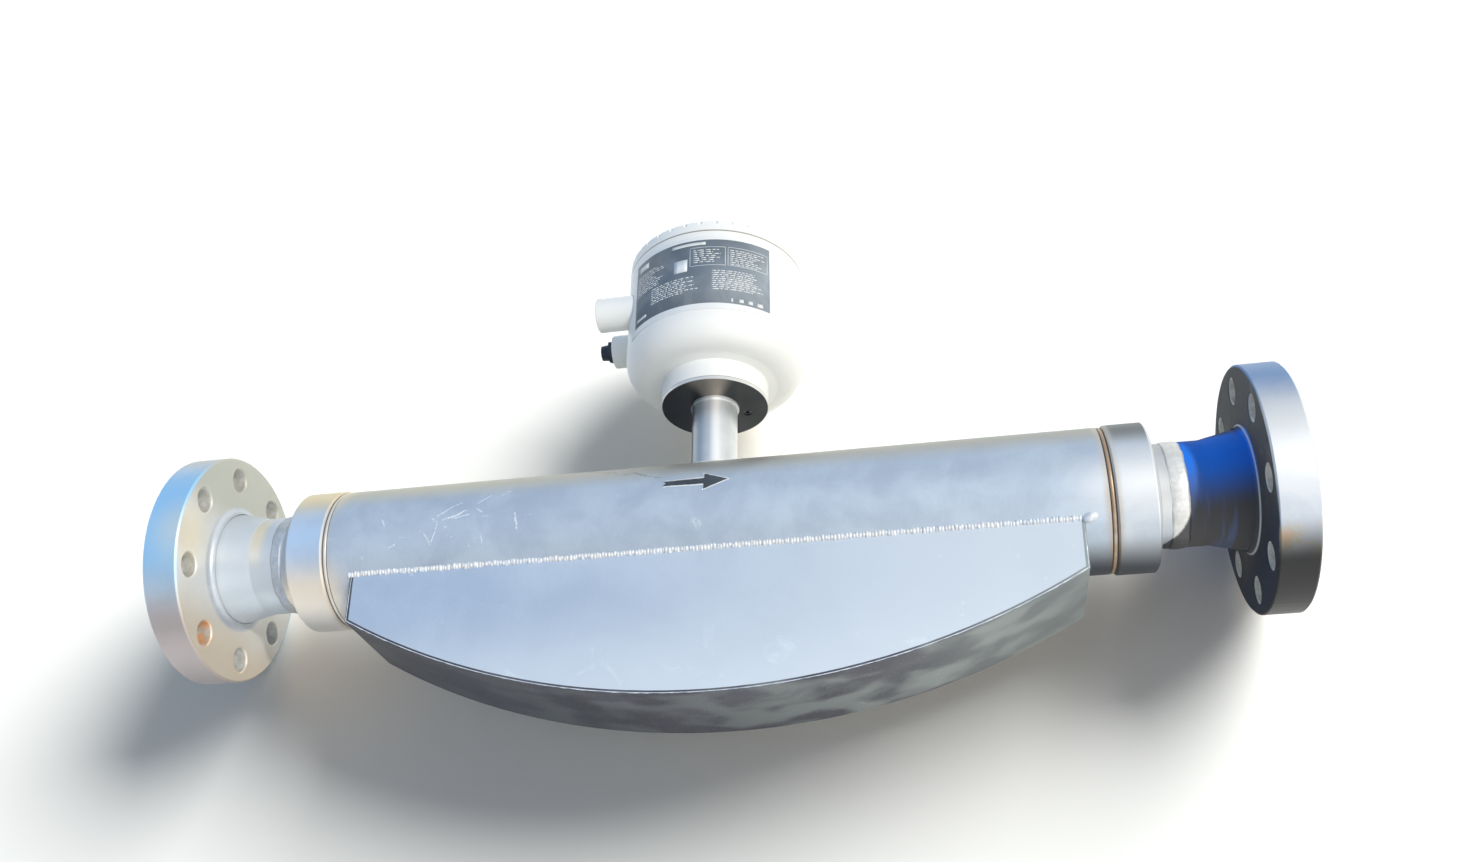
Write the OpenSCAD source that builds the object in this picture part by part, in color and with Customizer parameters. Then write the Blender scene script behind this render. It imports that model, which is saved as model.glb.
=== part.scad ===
// Coriolis mass flow meter: two bowed measuring tubes in a welded steel case,
// weld neck flanges at both ends and a swivelling transmitter head on a stem.
// Millimetres. X runs along the pipe in the flow direction, Z points to the head.
// The origin is the centre of the inlet flange's raised face.

/* [Line size] */
// Face to face length, over both raised faces
face_to_face = 982; // [960:2:1010]
// Flange outside diameter
flange_od = 209.6; // [206:0.2:214]
// Flange rim thickness, without the raised face
flange_rim_t = 31.8; // [28:0.2:36]
// Raised face height
raised_face_h = 6.4; // [4:0.2:7]
// Distance of the bolt circle from the rim's edge
bolt_inset = 20.75; // [19.5:0.05:22]
// Bolt hole diameter
bolt_hole_d = 22.2; // [20:0.2:24]
// Land between a bolt hole and the raised face
face_land = 9.45; // [7:0.05:12]
// Number of bolt holes, straddling the centre lines
bolt_count = 8; // [8:4:8]
// Chamfer at each mouth of a bolt hole
bolt_hole_chamfer = 1.2; // [0.6:0.2:1.8]
// Pipe outside diameter at the weld neck
pipe_od = 88.9; // [86:0.1:91]
// Bore of the flange and the manifold
pipe_bore = 74; // [70:0.5:77]
// Hub diameter at the back of the rim
hub_base_d = 104; // [100:0.5:110]
// Length of the hub's taper
hub_taper_l = 34; // [28:1:40]
// Straight part of the weld neck after the taper
hub_straight_l = 25; // [20:1:29]
// Fillet between rim and hub
hub_fillet_r = 5; // [3:0.5:7]
// Edge chamfer of the rim
rim_chamfer = 1.5; // [0.8:0.1:2.4]

/* [Manifold] */
// Length of the manifold's stub, from the weld to the end ring
stub_l = 19.4; // [16:0.2:23]
// End ring diameter
ring_d = 127.6; // [126.6:0.2:130]
// End ring length
ring_l = 34; // [31:0.5:37]
// Width of the weld groove between end ring and housing tube
ring_groove_w = 5; // [4:0.5:6]
// Length of the spigot that centres the housing tube
spigot_l = 14; // [11:0.5:17]
// Depth of the sockets that hold the measuring tubes
socket_depth = 16; // [12:1:20]
// Distance of the flow passages' wide end behind the end ring's face
split_back = 2; // [1:0.5:4]
// Wide end diameter of a tapered passage
split_d = 46; // [44:1:48]

/* [Case] */
// Housing tube outside diameter
tube_od = 125.2; // [124:0.2:126]
// Housing tube wall
tube_wall = 3; // [2.5:0.1:3.4]
// Belly width over the two plates
belly_w = 96.2; // [95:0.2:98]
// Belly sheet thickness
belly_t = 3; // [2.5:0.1:3.2]
// Distance from the belly's end to the end of the housing tube
belly_margin = 18.9; // [16:0.1:21]
// How far the belly's lower corner lies further in than its upper one
belly_rake = 4; // [2:0.5:8]
// Depth of the lower corner below the pipe axis
belly_corner_z = 84; // [82:0.5:88]
// Depth of the belly's lowest point below the pipe axis
belly_depth = 167.2; // [165:0.2:171]
// Radius of the seam weld bead
seam_bead_r = 4.2; // [3.4:0.2:5]
// How far a butt weld stands out of the pipe
weld_cap = 1.6; // [1:0.2:2.2]

/* [Measuring tubes] */
// Measuring tube outside diameter
mt_od = 38; // [36:0.5:38.5]
// Measuring tube wall
mt_wall = 2; // [1.5:0.1:2.5]
// Distance between the two tube axes
mt_pitch = 46; // [45:0.5:46.5]
// Gap between the tubes and the bottom band
mt_gap = 6; // [5:0.5:8]
// Straight length of a tube between the manifold and its first bend
mt_lead = 6; // [2:0.5:10]
// Bend radius next to the manifold
mt_bend1_r = 60; // [54:1:62]
// Bend radius at the foot of the slanted leg
mt_bend2_r = 70; // [64:1:76]
// Slope of the slanted leg
mt_leg_angle = 60; // [57:1:62]
// Brace plate thickness
brace_t = 4; // [3:0.5:5]
// Angle of a pick-off from the middle, about the bow's centre
pickoff_angle = 14.5; // [12:0.5:16]
// Coil diameter
coil_d = 24; // [20:1:26]
// Magnet diameter
magnet_d = 15; // [12:1:16]

/* [Stem] */
// Stem outside diameter
stem_od = 42.4; // [40:0.2:44]
// Stem wall
stem_wall = 3.2; // [2.6:0.2:4]
// Height of the adapter's underside above the pipe axis
adapter_z = 130.4; // [126:0.2:136]
// Collar diameter at the top of the stem
stem_collar_d = 45.6; // [45:0.2:48]
// Collar height
stem_collar_h = 2.4; // [1.8:0.2:3]
// Adapter disc diameter
adapter_d = 100.8; // [99:0.2:103]
// Visible thickness of the adapter disc
adapter_t = 2.8; // [2.2:0.2:3.6]
// Diameter of the step that centres the head's collar
adapter_step_d = 92; // [88:0.5:94]
// Height of that step
adapter_step_h = 5.8; // [5:0.2:7]
// Swivel spigot diameter
swivel_d = 50; // [46:0.5:52]
// Bore of the adapter for the cable
adapter_bore_d = 28; // [24:0.5:30]
// Distance of the locking screw from the adapter disc's edge
lock_screw_inset = 18.4; // [16:0.1:19]
// Direction of the locking screw, from the outlet side
lock_screw_angle = 25; // [0:5:60]
// Locking screw diameter
lock_screw_d = 8; // [6:0.5:9]

/* [Head] */
// Head drum diameter
head_d = 171; // [169:0.5:174]
// Collar height under the bowl
head_collar_h = 21; // [19:0.5:23]
// Radius of the bowl's lower corner
bowl_r = 26; // [22:0.5:28]
// Height of the drum from the bowl's floor to the lid
drum_h = 121.3; // [119:0.1:126]
// Wall of the head
head_wall = 4; // [3.5:0.1:5]
// Diameter of the lid's thread
lid_thread_d = 157.4; // [156:0.2:158]
// Depth of the lid's thread
lid_thread_h = 17; // [14:0.5:19]
// Height of the cable entries above the bowl's floor
entry_h = 75.3; // [70:0.5:80]
// Distance between the cable entries
entry_pitch = 62; // [56:1:66]
// Cable entry boss diameter
entry_boss_d = 33.4; // [32:0.2:35]
// Reach of the boss faces from the head's axis
entry_reach = 110; // [106:0.5:114]
// Wall diameter of the cable entry thread
entry_bore_d = 18.4; // [17:0.1:19]
// Angle of the nameplate's left edge from the front
plate_from = 56; // [50:0.5:56]
// Angle of the nameplate's right edge from the front
plate_to = 50.5; // [45:0.5:58]
// Nameplate height
plate_h = 85; // [78:0.5:88]
// Nameplate lower edge above the bowl's floor
plate_low = 28.6; // [27:0.2:32]
// Nameplate thickness
plate_t = 0.6; // [0.4:0.1:1]

/* [Lid] */
// Height of the lid's rim
lid_rim_h = 12.4; // [11:0.2:14]
// Height of the raised bezel above the rim
lid_bezel_h = 4; // [3:0.5:6]
// Bezel diameter
lid_bezel_d = 146; // [140:1:150]
// Number of grip notches
notch_count = 36; // [30:1:40]
// Grip notch width
notch_w = 4; // [3:0.2:4.6]
// Grip notch height
notch_h = 4.4; // [3.4:0.2:5.4]
// Free diameter of the window
window_d = 96; // [88:1:104]
// Window glass thickness
window_t = 8; // [6:0.5:9]

/* [Electronics] */
// Height of the carrier plate above the head's floor
carrier_rise = 12; // [8:1:14]
// Height of the main board above the carrier plate
board_rise = 12; // [10:1:14]
// Depth of the display's underside below the head's upper face
display_drop = 30; // [28:1:34]
// Carrier plate diameter
carrier_d = 138; // [130:1:144]
// Main board diameter
board_d = 118; // [112:1:122]
// Distance of the board spacers from the head's axis
spacer_at = 48; // [42:1:52]
// Diameter of the board spacers
spacer_d = 7; // [5:0.5:8]
// Sensor connector's width and depth
connector_w = 18; // [14:1:22]
connector_l = 14; // [10:1:18]
// Shield can's width, depth and height
can_w = 50; // [40:1:54]
can_l = 52; // [40:1:56]
can_h = 16; // [10:1:20]
// Gap between the shield can and the terminal block
can_gap = 12; // [8:1:14]
// Terminal block's width, length and height
term_w = 16; // [12:1:18]
term_l = 54; // [44:1:56]
term_h = 18; // [14:1:20]
// Number of terminals
term_count = 8; // [6:1:8]
// Distance of the terminal block's outer side from the head's axis
term_at = 52; // [48:1:53]
// Display module diameter
display_d = 104; // [96:1:108]
// Distance of the display posts from the display's rim
post_inset = 8; // [6:1:12]
// Display post diameter
post_d = 6; // [5:0.5:8]
// Screen width and height
screen_w = 72; // [60:1:76]
screen_h = 40; // [34:1:44]
// Distance of the screen's upper edge from the display's centre
screen_top = 22; // [18:1:24]
// Button diameter on the display
button_d = 11; // [8:0.5:12]

/* [Hidden] */
$fn = 96;

half_l = face_to_face / 2;
flange_r = flange_od / 2;
bolt_circle_d = flange_od - 2 * bolt_inset;
raised_face_d = bolt_circle_d - bolt_hole_d - 2 * face_land;
hub_l = raised_face_h + flange_rim_t + hub_taper_l + hub_straight_l;
pipe_r = pipe_od / 2;
bore_r = pipe_bore / 2;
ring_r = ring_d / 2;
tube_r = tube_od / 2;
tube_ri = tube_r - tube_wall;
ring_face_x = half_l - hub_l - stub_l;
ring_in_x = ring_face_x - ring_l;
tube_end_x = ring_in_x - ring_groove_w;
belly_half_top = tube_end_x - belly_margin;
belly_half_low = belly_half_top - belly_rake;
plate_y = belly_w / 2;
seam_z = -sqrt(tube_r * tube_r - plate_y * plate_y);
// belly arc through the lower corner and the lowest point
sag = belly_depth - belly_corner_z;
arc_r = (belly_half_low * belly_half_low + sag * sag) / (2 * sag);
arc_z = arc_r - belly_depth;
// measuring tube path in the XZ plane
mt_r = mt_od / 2;
mt_y = mt_pitch / 2;
bow_r = arc_r - belly_t - mt_gap - mt_r;
bend1_x = -(ring_in_x - spigot_l - mt_lead);
// half angle of the bow, from the leg being tangent to both of its bends
bow_a = mt_leg_angle - acos((arc_z * cos(mt_leg_angle) - mt_bend2_r - bend1_x * sin(mt_leg_angle)
    - mt_bend1_r * (1 - cos(mt_leg_angle))) / (bow_r - mt_bend2_r));
bend2_x = -(bow_r - mt_bend2_r) * sin(bow_a);
bend2_z = arc_z - (bow_r - mt_bend2_r) * cos(bow_a);
leg_low_x = bend2_x - mt_bend2_r * sin(mt_leg_angle);
leg_low_z = bend2_z - mt_bend2_r * cos(mt_leg_angle);
leg_top_z = -mt_bend1_r * (1 - cos(mt_leg_angle));
leg_l = (leg_top_z - leg_low_z) / sin(mt_leg_angle);
mt_end_x = ring_in_x + socket_depth;
// the passages end inside the ring, where the wall is thick
split_l = ring_l - socket_depth - split_back;
// stem, adapter and head heights
stem_r = stem_od / 2;
step_z = adapter_z + adapter_t;
spigot_z = step_z + adapter_step_h;
bowl_z = step_z + head_collar_h;
floor_z = bowl_z + head_wall;
head_r = head_d / 2;
head_ri = head_r - head_wall;
head_top = bowl_z + drum_h;
swivel_r = swivel_d / 2;
lock_screw_at = adapter_d / 2 - lock_screw_inset;
fit_gap = 0.05;
seat_gap = 0.14;
skin_gap = 0.08;
free_gap = 0.3;
clip_t = 1.5;
clip_z = floor_z + free_gap;
swivel_top = clip_z + clip_t + 3;
thread_r = lid_thread_d / 2;
lid_z = head_top + free_gap;
lid_top = lid_z + lid_rim_h;
window_z = lid_top + lid_bezel_h - 2 - window_t;
entry_z = bowl_z + entry_h;
entry_y = entry_pitch / 2;
plug_l = 12;
feed_z = 92;
feed_h = 8;
carrier_z = floor_z + carrier_rise;
carrier_t = 3;
board_z = carrier_z + carrier_t + board_rise;
board_t = 1.6;
connector_h = 8;
display_z = head_top - display_drop;
display_t = 10;
screen_t = 3;
can_t = 0.6;
post_at = 62;
term_pitch = (term_l - 0.08) / term_count;

module place() { translate([half_l, 0, 0]) children(); }
module both_ends() { children(); mirror([1, 0, 0]) children(); }
module both_sides() { children(); mirror([0, 1, 0]) children(); }
// a solid of revolution about the pipe axis, profile drawn as [radius, x]
module about_x() { rotate([0, 90, 0]) rotate_extrude() children(); }

// ---------- flanges ----------
module flange_profile() {
    x0 = half_l - raised_face_h;
    x1 = x0 - flange_rim_t;
    x2 = x1 - hub_taper_l;
    x3 = half_l - hub_l;
    hr = hub_base_d / 2;
    difference() {
        union() {
            polygon([[bore_r, x3], [pipe_r - 1.5, x3], [pipe_r, x3 + 1.5], [pipe_r, x2], [hr, x1],
                [flange_r - rim_chamfer, x1], [flange_r, x1 + rim_chamfer],
                [flange_r, x0 - rim_chamfer], [flange_r - rim_chamfer, x0],
                [raised_face_d / 2, x0], [raised_face_d / 2, half_l], [bore_r, half_l]]);
            translate([hr - 0.5, x1 - hub_fillet_r]) square([hub_fillet_r + 0.5, hub_fillet_r]);
        }
        translate([hr + hub_fillet_r, x1 - hub_fillet_r]) circle(r = hub_fillet_r);
    }
}
module flange() {
    x0 = half_l - raised_face_h;
    x1 = x0 - flange_rim_t;
    difference() {
        about_x() flange_profile();
        for (i = [0:bolt_count - 1]) rotate([(i + 0.5) * 360 / bolt_count, 0, 0])
            translate([0, 0, bolt_circle_d / 2]) {
                translate([x1 - 1, 0, 0]) rotate([0, 90, 0]) cylinder(d = bolt_hole_d, h = flange_rim_t + 2);
                translate([x1 - 0.01, 0, 0]) rotate([0, 90, 0])
                    cylinder(d1 = bolt_hole_d + 2 * bolt_hole_chamfer, d2 = bolt_hole_d, h = bolt_hole_chamfer);
                translate([x0 + 0.01, 0, 0]) rotate([0, -90, 0])
                    cylinder(d1 = bolt_hole_d + 2 * bolt_hole_chamfer, d2 = bolt_hole_d, h = bolt_hole_chamfer);
            }
    }
}
module inlet_flange() { color([0.66, 0.68, 0.66]) place() mirror([1, 0, 0]) flange(); }
module outlet_flange() { color([0.66, 0.68, 0.66]) place() flange(); }
module neck_welds() {
    color([0.72, 0.7, 0.64]) place() both_ends() about_x() difference() {
        translate([pipe_r - 2.4 + weld_cap, half_l - hub_l]) circle(r = 2.4, $fn = 48);
        translate([0, half_l - hub_l - 5]) square([pipe_r + 0.02, 10]);
    }
}

// ---------- manifolds ----------
module manifold() {
    x_out = half_l - hub_l - free_gap;
    c = 1.5;
    difference() {
        about_x() difference() {
            polygon([[0, ring_in_x - spigot_l], [tube_ri - fit_gap - 1, ring_in_x - spigot_l],
                [tube_ri - fit_gap, ring_in_x - spigot_l + 1], [tube_ri - fit_gap, ring_in_x],
                [ring_r - c, ring_in_x], [ring_r, ring_in_x + c], [ring_r, ring_face_x - c],
                [ring_r - c, ring_face_x], [pipe_r + 4, ring_face_x], [pipe_r, ring_face_x + 4],
                [pipe_r, x_out - 1.5], [pipe_r - 1.5, x_out], [0, x_out]]);
        }
        // bore and the tapered passages that split the flow
        translate([mt_end_x + split_l - 2, 0, 0]) rotate([0, 90, 0]) cylinder(r = bore_r, h = half_l);
        both_sides() translate([mt_end_x - 0.01, mt_y, 0]) rotate([0, 90, 0])
            cylinder(d1 = mt_od - 2 * mt_wall, d2 = split_d, h = split_l);
        // sockets of the measuring tubes
        both_sides() translate([ring_in_x - spigot_l - 1, mt_y, 0]) rotate([0, 90, 0])
            cylinder(r = mt_r + 0.02, h = mt_end_x - ring_in_x + spigot_l + 1);
    }
}
module inlet_manifold() { color([0.6, 0.62, 0.6]) place() mirror([1, 0, 0]) manifold(); }
module outlet_manifold() { color([0.6, 0.62, 0.6]) place() manifold(); }
module ring_welds() {
    color([0.55, 0.47, 0.38]) place() both_ends() about_x() union() {
        translate([tube_ri + 0.02, tube_end_x + 0.05])
            square([tube_wall - 1.4, ring_groove_w - 0.1]);
        intersection() {
            translate([tube_r - 2.6, tube_end_x + ring_groove_w / 2]) circle(r = ring_groove_w / 2 - 0.2, $fn = 48);
            translate([tube_ri + 1, tube_end_x + 0.1]) square([10, ring_groove_w - 0.2]);
        }
    }
}

// ---------- case ----------
module housing_tube() {
    color([0.7, 0.72, 0.72]) place() difference() {
        translate([-tube_end_x, 0, 0]) rotate([0, 90, 0]) cylinder(r = tube_r, h = 2 * tube_end_x);
        translate([-tube_end_x - 1, 0, 0]) rotate([0, 90, 0]) cylinder(r = tube_ri, h = 2 * tube_end_x + 2);
        // window into the belly, between the plates
        translate([-belly_half_top + belly_t, -plate_y + belly_t, -tube_r - 1])
            cube([2 * (belly_half_top - belly_t), 2 * (plate_y - belly_t), tube_r]);
        // bore under the stem
        cylinder(r = stem_r - stem_wall, h = tube_r + 10);
    }
}
module belly_outline(inset = 0) {
    // side view, x and z; the arc is cut out of the straight sided blank
    intersection() {
        polygon([[-belly_half_top + inset, 0], [-belly_half_low + inset, -belly_corner_z],
            [-belly_half_low + inset + 2, -belly_depth - 10], [belly_half_low - inset - 2, -belly_depth - 10],
            [belly_half_low - inset, -belly_corner_z], [belly_half_top - inset, 0]]);
        translate([0, arc_z]) circle(r = arc_r - inset, $fn = 200);
    }
}
module tube_void(clear = 0.02) {
    translate([-half_l, 0, 0]) rotate([0, 90, 0]) cylinder(r = tube_r + clear, h = 2 * half_l);
}
module belly_plate() {
    difference() {
        translate([0, -plate_y + belly_t, 0]) rotate([90, 0, 0])
            linear_extrude(height = belly_t) belly_outline(belly_t + 0.02);
        tube_void();
        translate([-half_l, -plate_y - 1, -10]) cube([2 * half_l, belly_w, 100]);
    }
}
module belly_front_plate() { color([0.74, 0.77, 0.8]) place() belly_plate(); }
module belly_rear_plate() { color([0.74, 0.77, 0.8]) place() mirror([0, 1, 0]) belly_plate(); }
module belly_bottom_band() {
    color([0.5, 0.51, 0.52]) place() difference() {
        translate([0, plate_y, 0]) rotate([90, 0, 0]) linear_extrude(height = belly_w)
            difference() {
                belly_outline();
                translate([0, arc_z]) circle(r = arc_r - belly_t, $fn = 200);
                translate([-half_l, -belly_corner_z + 6]) square([2 * half_l, 200]);
            }
        both_ends() translate([belly_half_low - belly_t, -plate_y - 1, -belly_corner_z])
            cube([belly_t + 10, belly_w + 2, 40]);
    }
}
module belly_end() {
    difference() {
        translate([0, plate_y, 0]) rotate([90, 0, 0]) linear_extrude(height = belly_w)
            difference() {
                belly_outline();
                belly_outline(belly_t);
                translate([-half_l, -half_l]) square([2 * half_l, half_l - belly_corner_z + 0.02]);
                translate([-half_l, -half_l]) square([half_l, 2 * half_l]);
            }
        translate([belly_half_low - belly_t - 12, -plate_y - 1, -belly_corner_z - 2])
            cube([12 + 0.02, belly_w + 2, 8]);
        tube_void();
        translate([0, -plate_y - 1, -10]) cube([half_l, belly_w + 2, 100]);
    }
}
module belly_end_inlet() { color([0.68, 0.7, 0.72]) place() mirror([1, 0, 0]) belly_end(); }
module belly_end_outlet() { color([0.68, 0.7, 0.72]) place() belly_end(); }
module seam_welds() {
    color([0.85, 0.85, 0.83]) place() both_sides() difference() {
        translate([-belly_half_top + 1, -plate_y - 0.6, seam_z + 0.8]) rotate([0, 90, 0])
            cylinder(r = seam_bead_r, h = 2 * belly_half_top - 2, $fn = 48);
        tube_void(0.04);
        translate([-half_l, -plate_y - 0.04, -half_l]) cube([2 * half_l, 20, 2 * half_l]);
    }
}

// ---------- measuring tubes ----------
module tube_bend(r, rt, a0, a1) {
    // a bend in the XZ plane about the local origin, from angle a0 to a1
    rotate([90, 0, 0]) rotate([0, 0, a0]) rotate_extrude(angle = a1 - a0) translate([r, 0]) circle(r = rt, $fn = 64);
}
// path of a measuring tube as [x, z, heading]: socket, bend, slanted leg, bend, bow and back
function bend_run(cx, cz, r, a, b, n) =
    [for (k = [0:n]) let (t = a + (b - a) * k / n) [cx - r * sin(t), cz - r * cos(t), -t]];
function half_path() = concat([[-mt_end_x, 0, 0]],
    [for (k = [0:6]) let (t = mt_leg_angle * k / 6)
        [bend1_x + mt_bend1_r * sin(t), -mt_bend1_r + mt_bend1_r * cos(t), -t]],
    bend_run(bend2_x, bend2_z, mt_bend2_r, mt_leg_angle, bow_a, 4),
    [for (p = bend_run(0, arc_z, bow_r, bow_a, 0, 12)) if (p[2] > -bow_a + 0.01) p]);
function mirror_path(p) = [for (i = [len(p) - 2:-1:0]) [-p[i][0], p[i][1], -p[i][2]]];
function ring_points(p, r, n) = [for (i = [0:n - 1]) let (t = i * 360 / n)
    [p[0] - r * cos(t) * sin(p[2]), r * sin(t), p[1] + r * cos(t) * cos(p[2])]];
module swept_pipe(path, ro, ri, n = 16) {
    m = len(path);
    pts = concat([for (p = path) each ring_points(p, ro, n)], [for (p = path) each ring_points(p, ri, n)]);
    polyhedron(points = pts, faces = concat(
        [for (j = [0:m - 2], i = [0:n - 1]) let (q = (i + 1) % n) each
            [[j * n + i, (j + 1) * n + q, j * n + q], [j * n + i, (j + 1) * n + i, (j + 1) * n + q],
             [(m + j) * n + i, (m + j) * n + q, (m + j + 1) * n + q],
             [(m + j) * n + i, (m + j + 1) * n + q, (m + j + 1) * n + i]]],
        [for (i = [0:n - 1]) let (q = (i + 1) % n) each
            [[i, q, m * n + q], [i, m * n + q, m * n + i],
             [(m - 1) * n + i, (2 * m - 1) * n + i, (2 * m - 1) * n + q],
             [(m - 1) * n + i, (2 * m - 1) * n + q, (m - 1) * n + q]]]));
}
module measuring_tube() {
    h = half_path();
    swept_pipe(concat(h, mirror_path(h)), mt_r, mt_r - mt_wall);
}
module measuring_tube_front() { color([0.78, 0.8, 0.8]) place() translate([0, -mt_y, 0]) measuring_tube(); }
module measuring_tube_rear() { color([0.78, 0.8, 0.8]) place() translate([0, mt_y, 0]) measuring_tube(); }
module brace_plates() {
    // tie plates square to the slanted legs, two near each end
    color([0.6, 0.62, 0.64]) place() both_ends() for (k = [0.3, 0.72])
        translate([leg_low_x - k * leg_l * cos(mt_leg_angle), 0, leg_low_z + k * leg_l * sin(mt_leg_angle)])
            rotate([0, -90 + mt_leg_angle, 0]) difference() {
                translate([-mt_r - 2, -mt_y - mt_r - 0.8, -brace_t / 2])
                    cube([mt_od + 4, mt_pitch + mt_od + 1.6, brace_t]);
                both_sides() translate([0, mt_y, -brace_t]) cylinder(r = mt_r + 0.02, h = 2 * brace_t);
            }
}
module on_bow(a) { translate([0, 0, arc_z]) rotate([0, a, 0]) translate([0, 0, -bow_r]) children(); }
module sensor_places() { for (a = [0, -pickoff_angle, pickoff_angle]) on_bow(a) children(); }
coil_z = mt_r + coil_d / 2 + 2;
module coil_brackets() {
    // one upright on the crown of each tube at the driver and at both pick-offs
    color([0.55, 0.57, 0.6]) place() difference() {
        sensor_places() both_sides() translate([-coil_d / 2, mt_y - 5, mt_r - 4])
            cube([coil_d, 3, coil_d + 8]);
        translate([0, 0, arc_z]) both_sides() translate([0, mt_y, 0])
            tube_bend(bow_r, mt_r + seat_gap, -90 - bow_a, -90 + bow_a);
    }
}
module coil() {
    translate([0, -mt_y + 5.02, coil_z]) rotate([-90, 0, 0]) difference() {
        cylinder(d = coil_d, h = mt_y - 6, $fn = 48);
        translate([0, 0, 6]) cylinder(d = magnet_d + 3, h = mt_y, $fn = 48);
    }
}
module magnet() { translate([0, mt_y - 5.02, coil_z]) rotate([90, 0, 0]) cylinder(d = magnet_d, h = mt_y, $fn = 48); }
module drive_coil() { color([0.72, 0.42, 0.22]) place() on_bow(0) coil(); }
module drive_magnet() { color([0.45, 0.46, 0.48]) place() on_bow(0) magnet(); }
module pickoff_coils() { color([0.72, 0.42, 0.22]) place() for (s = [-1, 1]) on_bow(s * pickoff_angle) coil(); }
module pickoff_magnets() { color([0.45, 0.46, 0.48]) place() for (s = [-1, 1]) on_bow(s * pickoff_angle) magnet(); }
module temperature_sensor() {
    color([0.8, 0.8, 0.76]) place()
        on_bow(pickoff_angle + 4) translate([-8, -mt_y - 3, mt_r + seat_gap + 0.06]) cube([16, 6, 4]);
}

// ---------- stem and adapter ----------
module stem() {
    color([0.74, 0.75, 0.75]) place() difference() {
        union() {
            cylinder(r = stem_r, h = adapter_z - 0.02);
            translate([0, 0, adapter_z - stem_collar_h]) cylinder(d = stem_collar_d, h = stem_collar_h - 0.02);
        }
        translate([0, 0, -1]) cylinder(r = stem_r - stem_wall, h = adapter_z + 10);
        tube_void();
    }
}
module stem_weld() {
    // saddle shaped fillet where the stem meets the housing tube
    color([0.7, 0.68, 0.62]) place() difference() {
        intersection() {
            cylinder(r = stem_r + 2.4, h = tube_r + 5);
            translate([-half_l, 0, 0]) rotate([0, 90, 0]) cylinder(r = tube_r + 2, h = 2 * half_l);
        }
        translate([0, 0, -1]) cylinder(r = stem_r + 0.02, h = 200);
        tube_void(0.04);
    }
}
module feedthrough() {
    color([0.5, 0.52, 0.54]) place() {
        translate([0, 0, feed_z]) cylinder(r = stem_r - stem_wall - 0.02, h = feed_h);
        for (i = [0:7]) rotate([0, 0, i * 45]) translate([10.5, 0, feed_z - 6]) cylinder(r = 0.8, h = feed_h + 12, $fn = 24);
    }
}
module signal_cable() {
    color([0.2, 0.2, 0.22]) place() translate([0, 0, feed_z + feed_h])
        cylinder(d = 8, h = board_z - connector_h - feed_z - feed_h);
}
module neck_adapter() {
    color([0.16, 0.17, 0.18]) place() difference() {
        union() {
            translate([0, 0, adapter_z]) cylinder(d = adapter_d, h = adapter_t);
            translate([0, 0, step_z - 0.5]) cylinder(d = adapter_step_d, h = adapter_step_h + 0.5);
            translate([0, 0, spigot_z - 0.5]) cylinder(r = swivel_r, h = swivel_top - spigot_z + 0.5);
        }
        translate([0, 0, adapter_z - 1]) cylinder(d = adapter_bore_d, h = 200);
        // groove of the swivel seal, groove of the retaining ring
        translate([0, 0, spigot_z + 6.4]) ring_cut(swivel_r - 3, 3.2);
        translate([0, 0, clip_z - 0.02]) ring_cut(swivel_r - 2.2, clip_t + 0.04);
        translate([lock_screw_at * cos(lock_screw_angle), lock_screw_at * sin(lock_screw_angle), adapter_z - 1])
            cylinder(d = lock_screw_d + 0.04, h = 30);
    }
}
module ring_cut(r, h) {
    difference() {
        cylinder(r = swivel_r + 5, h = h);
        translate([0, 0, -1]) cylinder(r = r, h = h + 2);
    }
}
module lock_screw() {
    color([0.3, 0.31, 0.33]) place() difference() {
        translate([lock_screw_at * cos(lock_screw_angle), lock_screw_at * sin(lock_screw_angle), adapter_z + 1])
            cylinder(d = lock_screw_d, h = adapter_t + adapter_step_h - 1);
        translate([lock_screw_at * cos(lock_screw_angle), lock_screw_at * sin(lock_screw_angle), adapter_z])
            cylinder(d = lock_screw_d * 0.58, h = 4.5, $fn = 6);
    }
}
module swivel_seal() {
    color([0.1, 0.1, 0.1]) place() translate([0, 0, spigot_z + 8])
        rotate_extrude() translate([swivel_r - 1.5, 0]) circle(r = 1.48, $fn = 32);
}
module retaining_ring() {
    color([0.5, 0.5, 0.52]) place() translate([0, 0, clip_z]) difference() {
        cylinder(r = swivel_r + 4, h = clip_t);
        translate([0, 0, -1]) cylinder(r = swivel_r - 2.2, h = clip_t + 2);
        translate([0, -4, -1]) cube([swivel_r + 10, 8, clip_t + 2]);
    }
}

// ---------- head ----------
module head_outer() {
    rotate_extrude() union() {
        translate([0, step_z + 0.02]) square([adapter_d / 2 - 0.2, head_collar_h + 4]);
        polygon([[0, bowl_z + 10], [0, bowl_z - 1.5], [adapter_d / 2 - 0.2, bowl_z - 1.5],
            [head_r - bowl_r, bowl_z], [head_r - bowl_r, bowl_z + 10]]);
        translate([head_r - bowl_r, bowl_z + bowl_r]) circle(r = bowl_r);
        translate([0, bowl_z + bowl_r]) square([head_r, drum_h - bowl_r]);
    }
}
module head_inner() {
    ri = bowl_r - head_wall;
    rotate_extrude() union() {
        translate([0, floor_z]) square([head_ri - ri, 80]);
        translate([head_ri - ri, floor_z + ri]) circle(r = ri);
        translate([0, floor_z + ri]) square([head_ri, head_top - lid_thread_h - 3 - floor_z - ri]);
        translate([0, head_top - lid_thread_h - 4]) square([thread_r + free_gap, lid_thread_h + 10]);
    }
}
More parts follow.
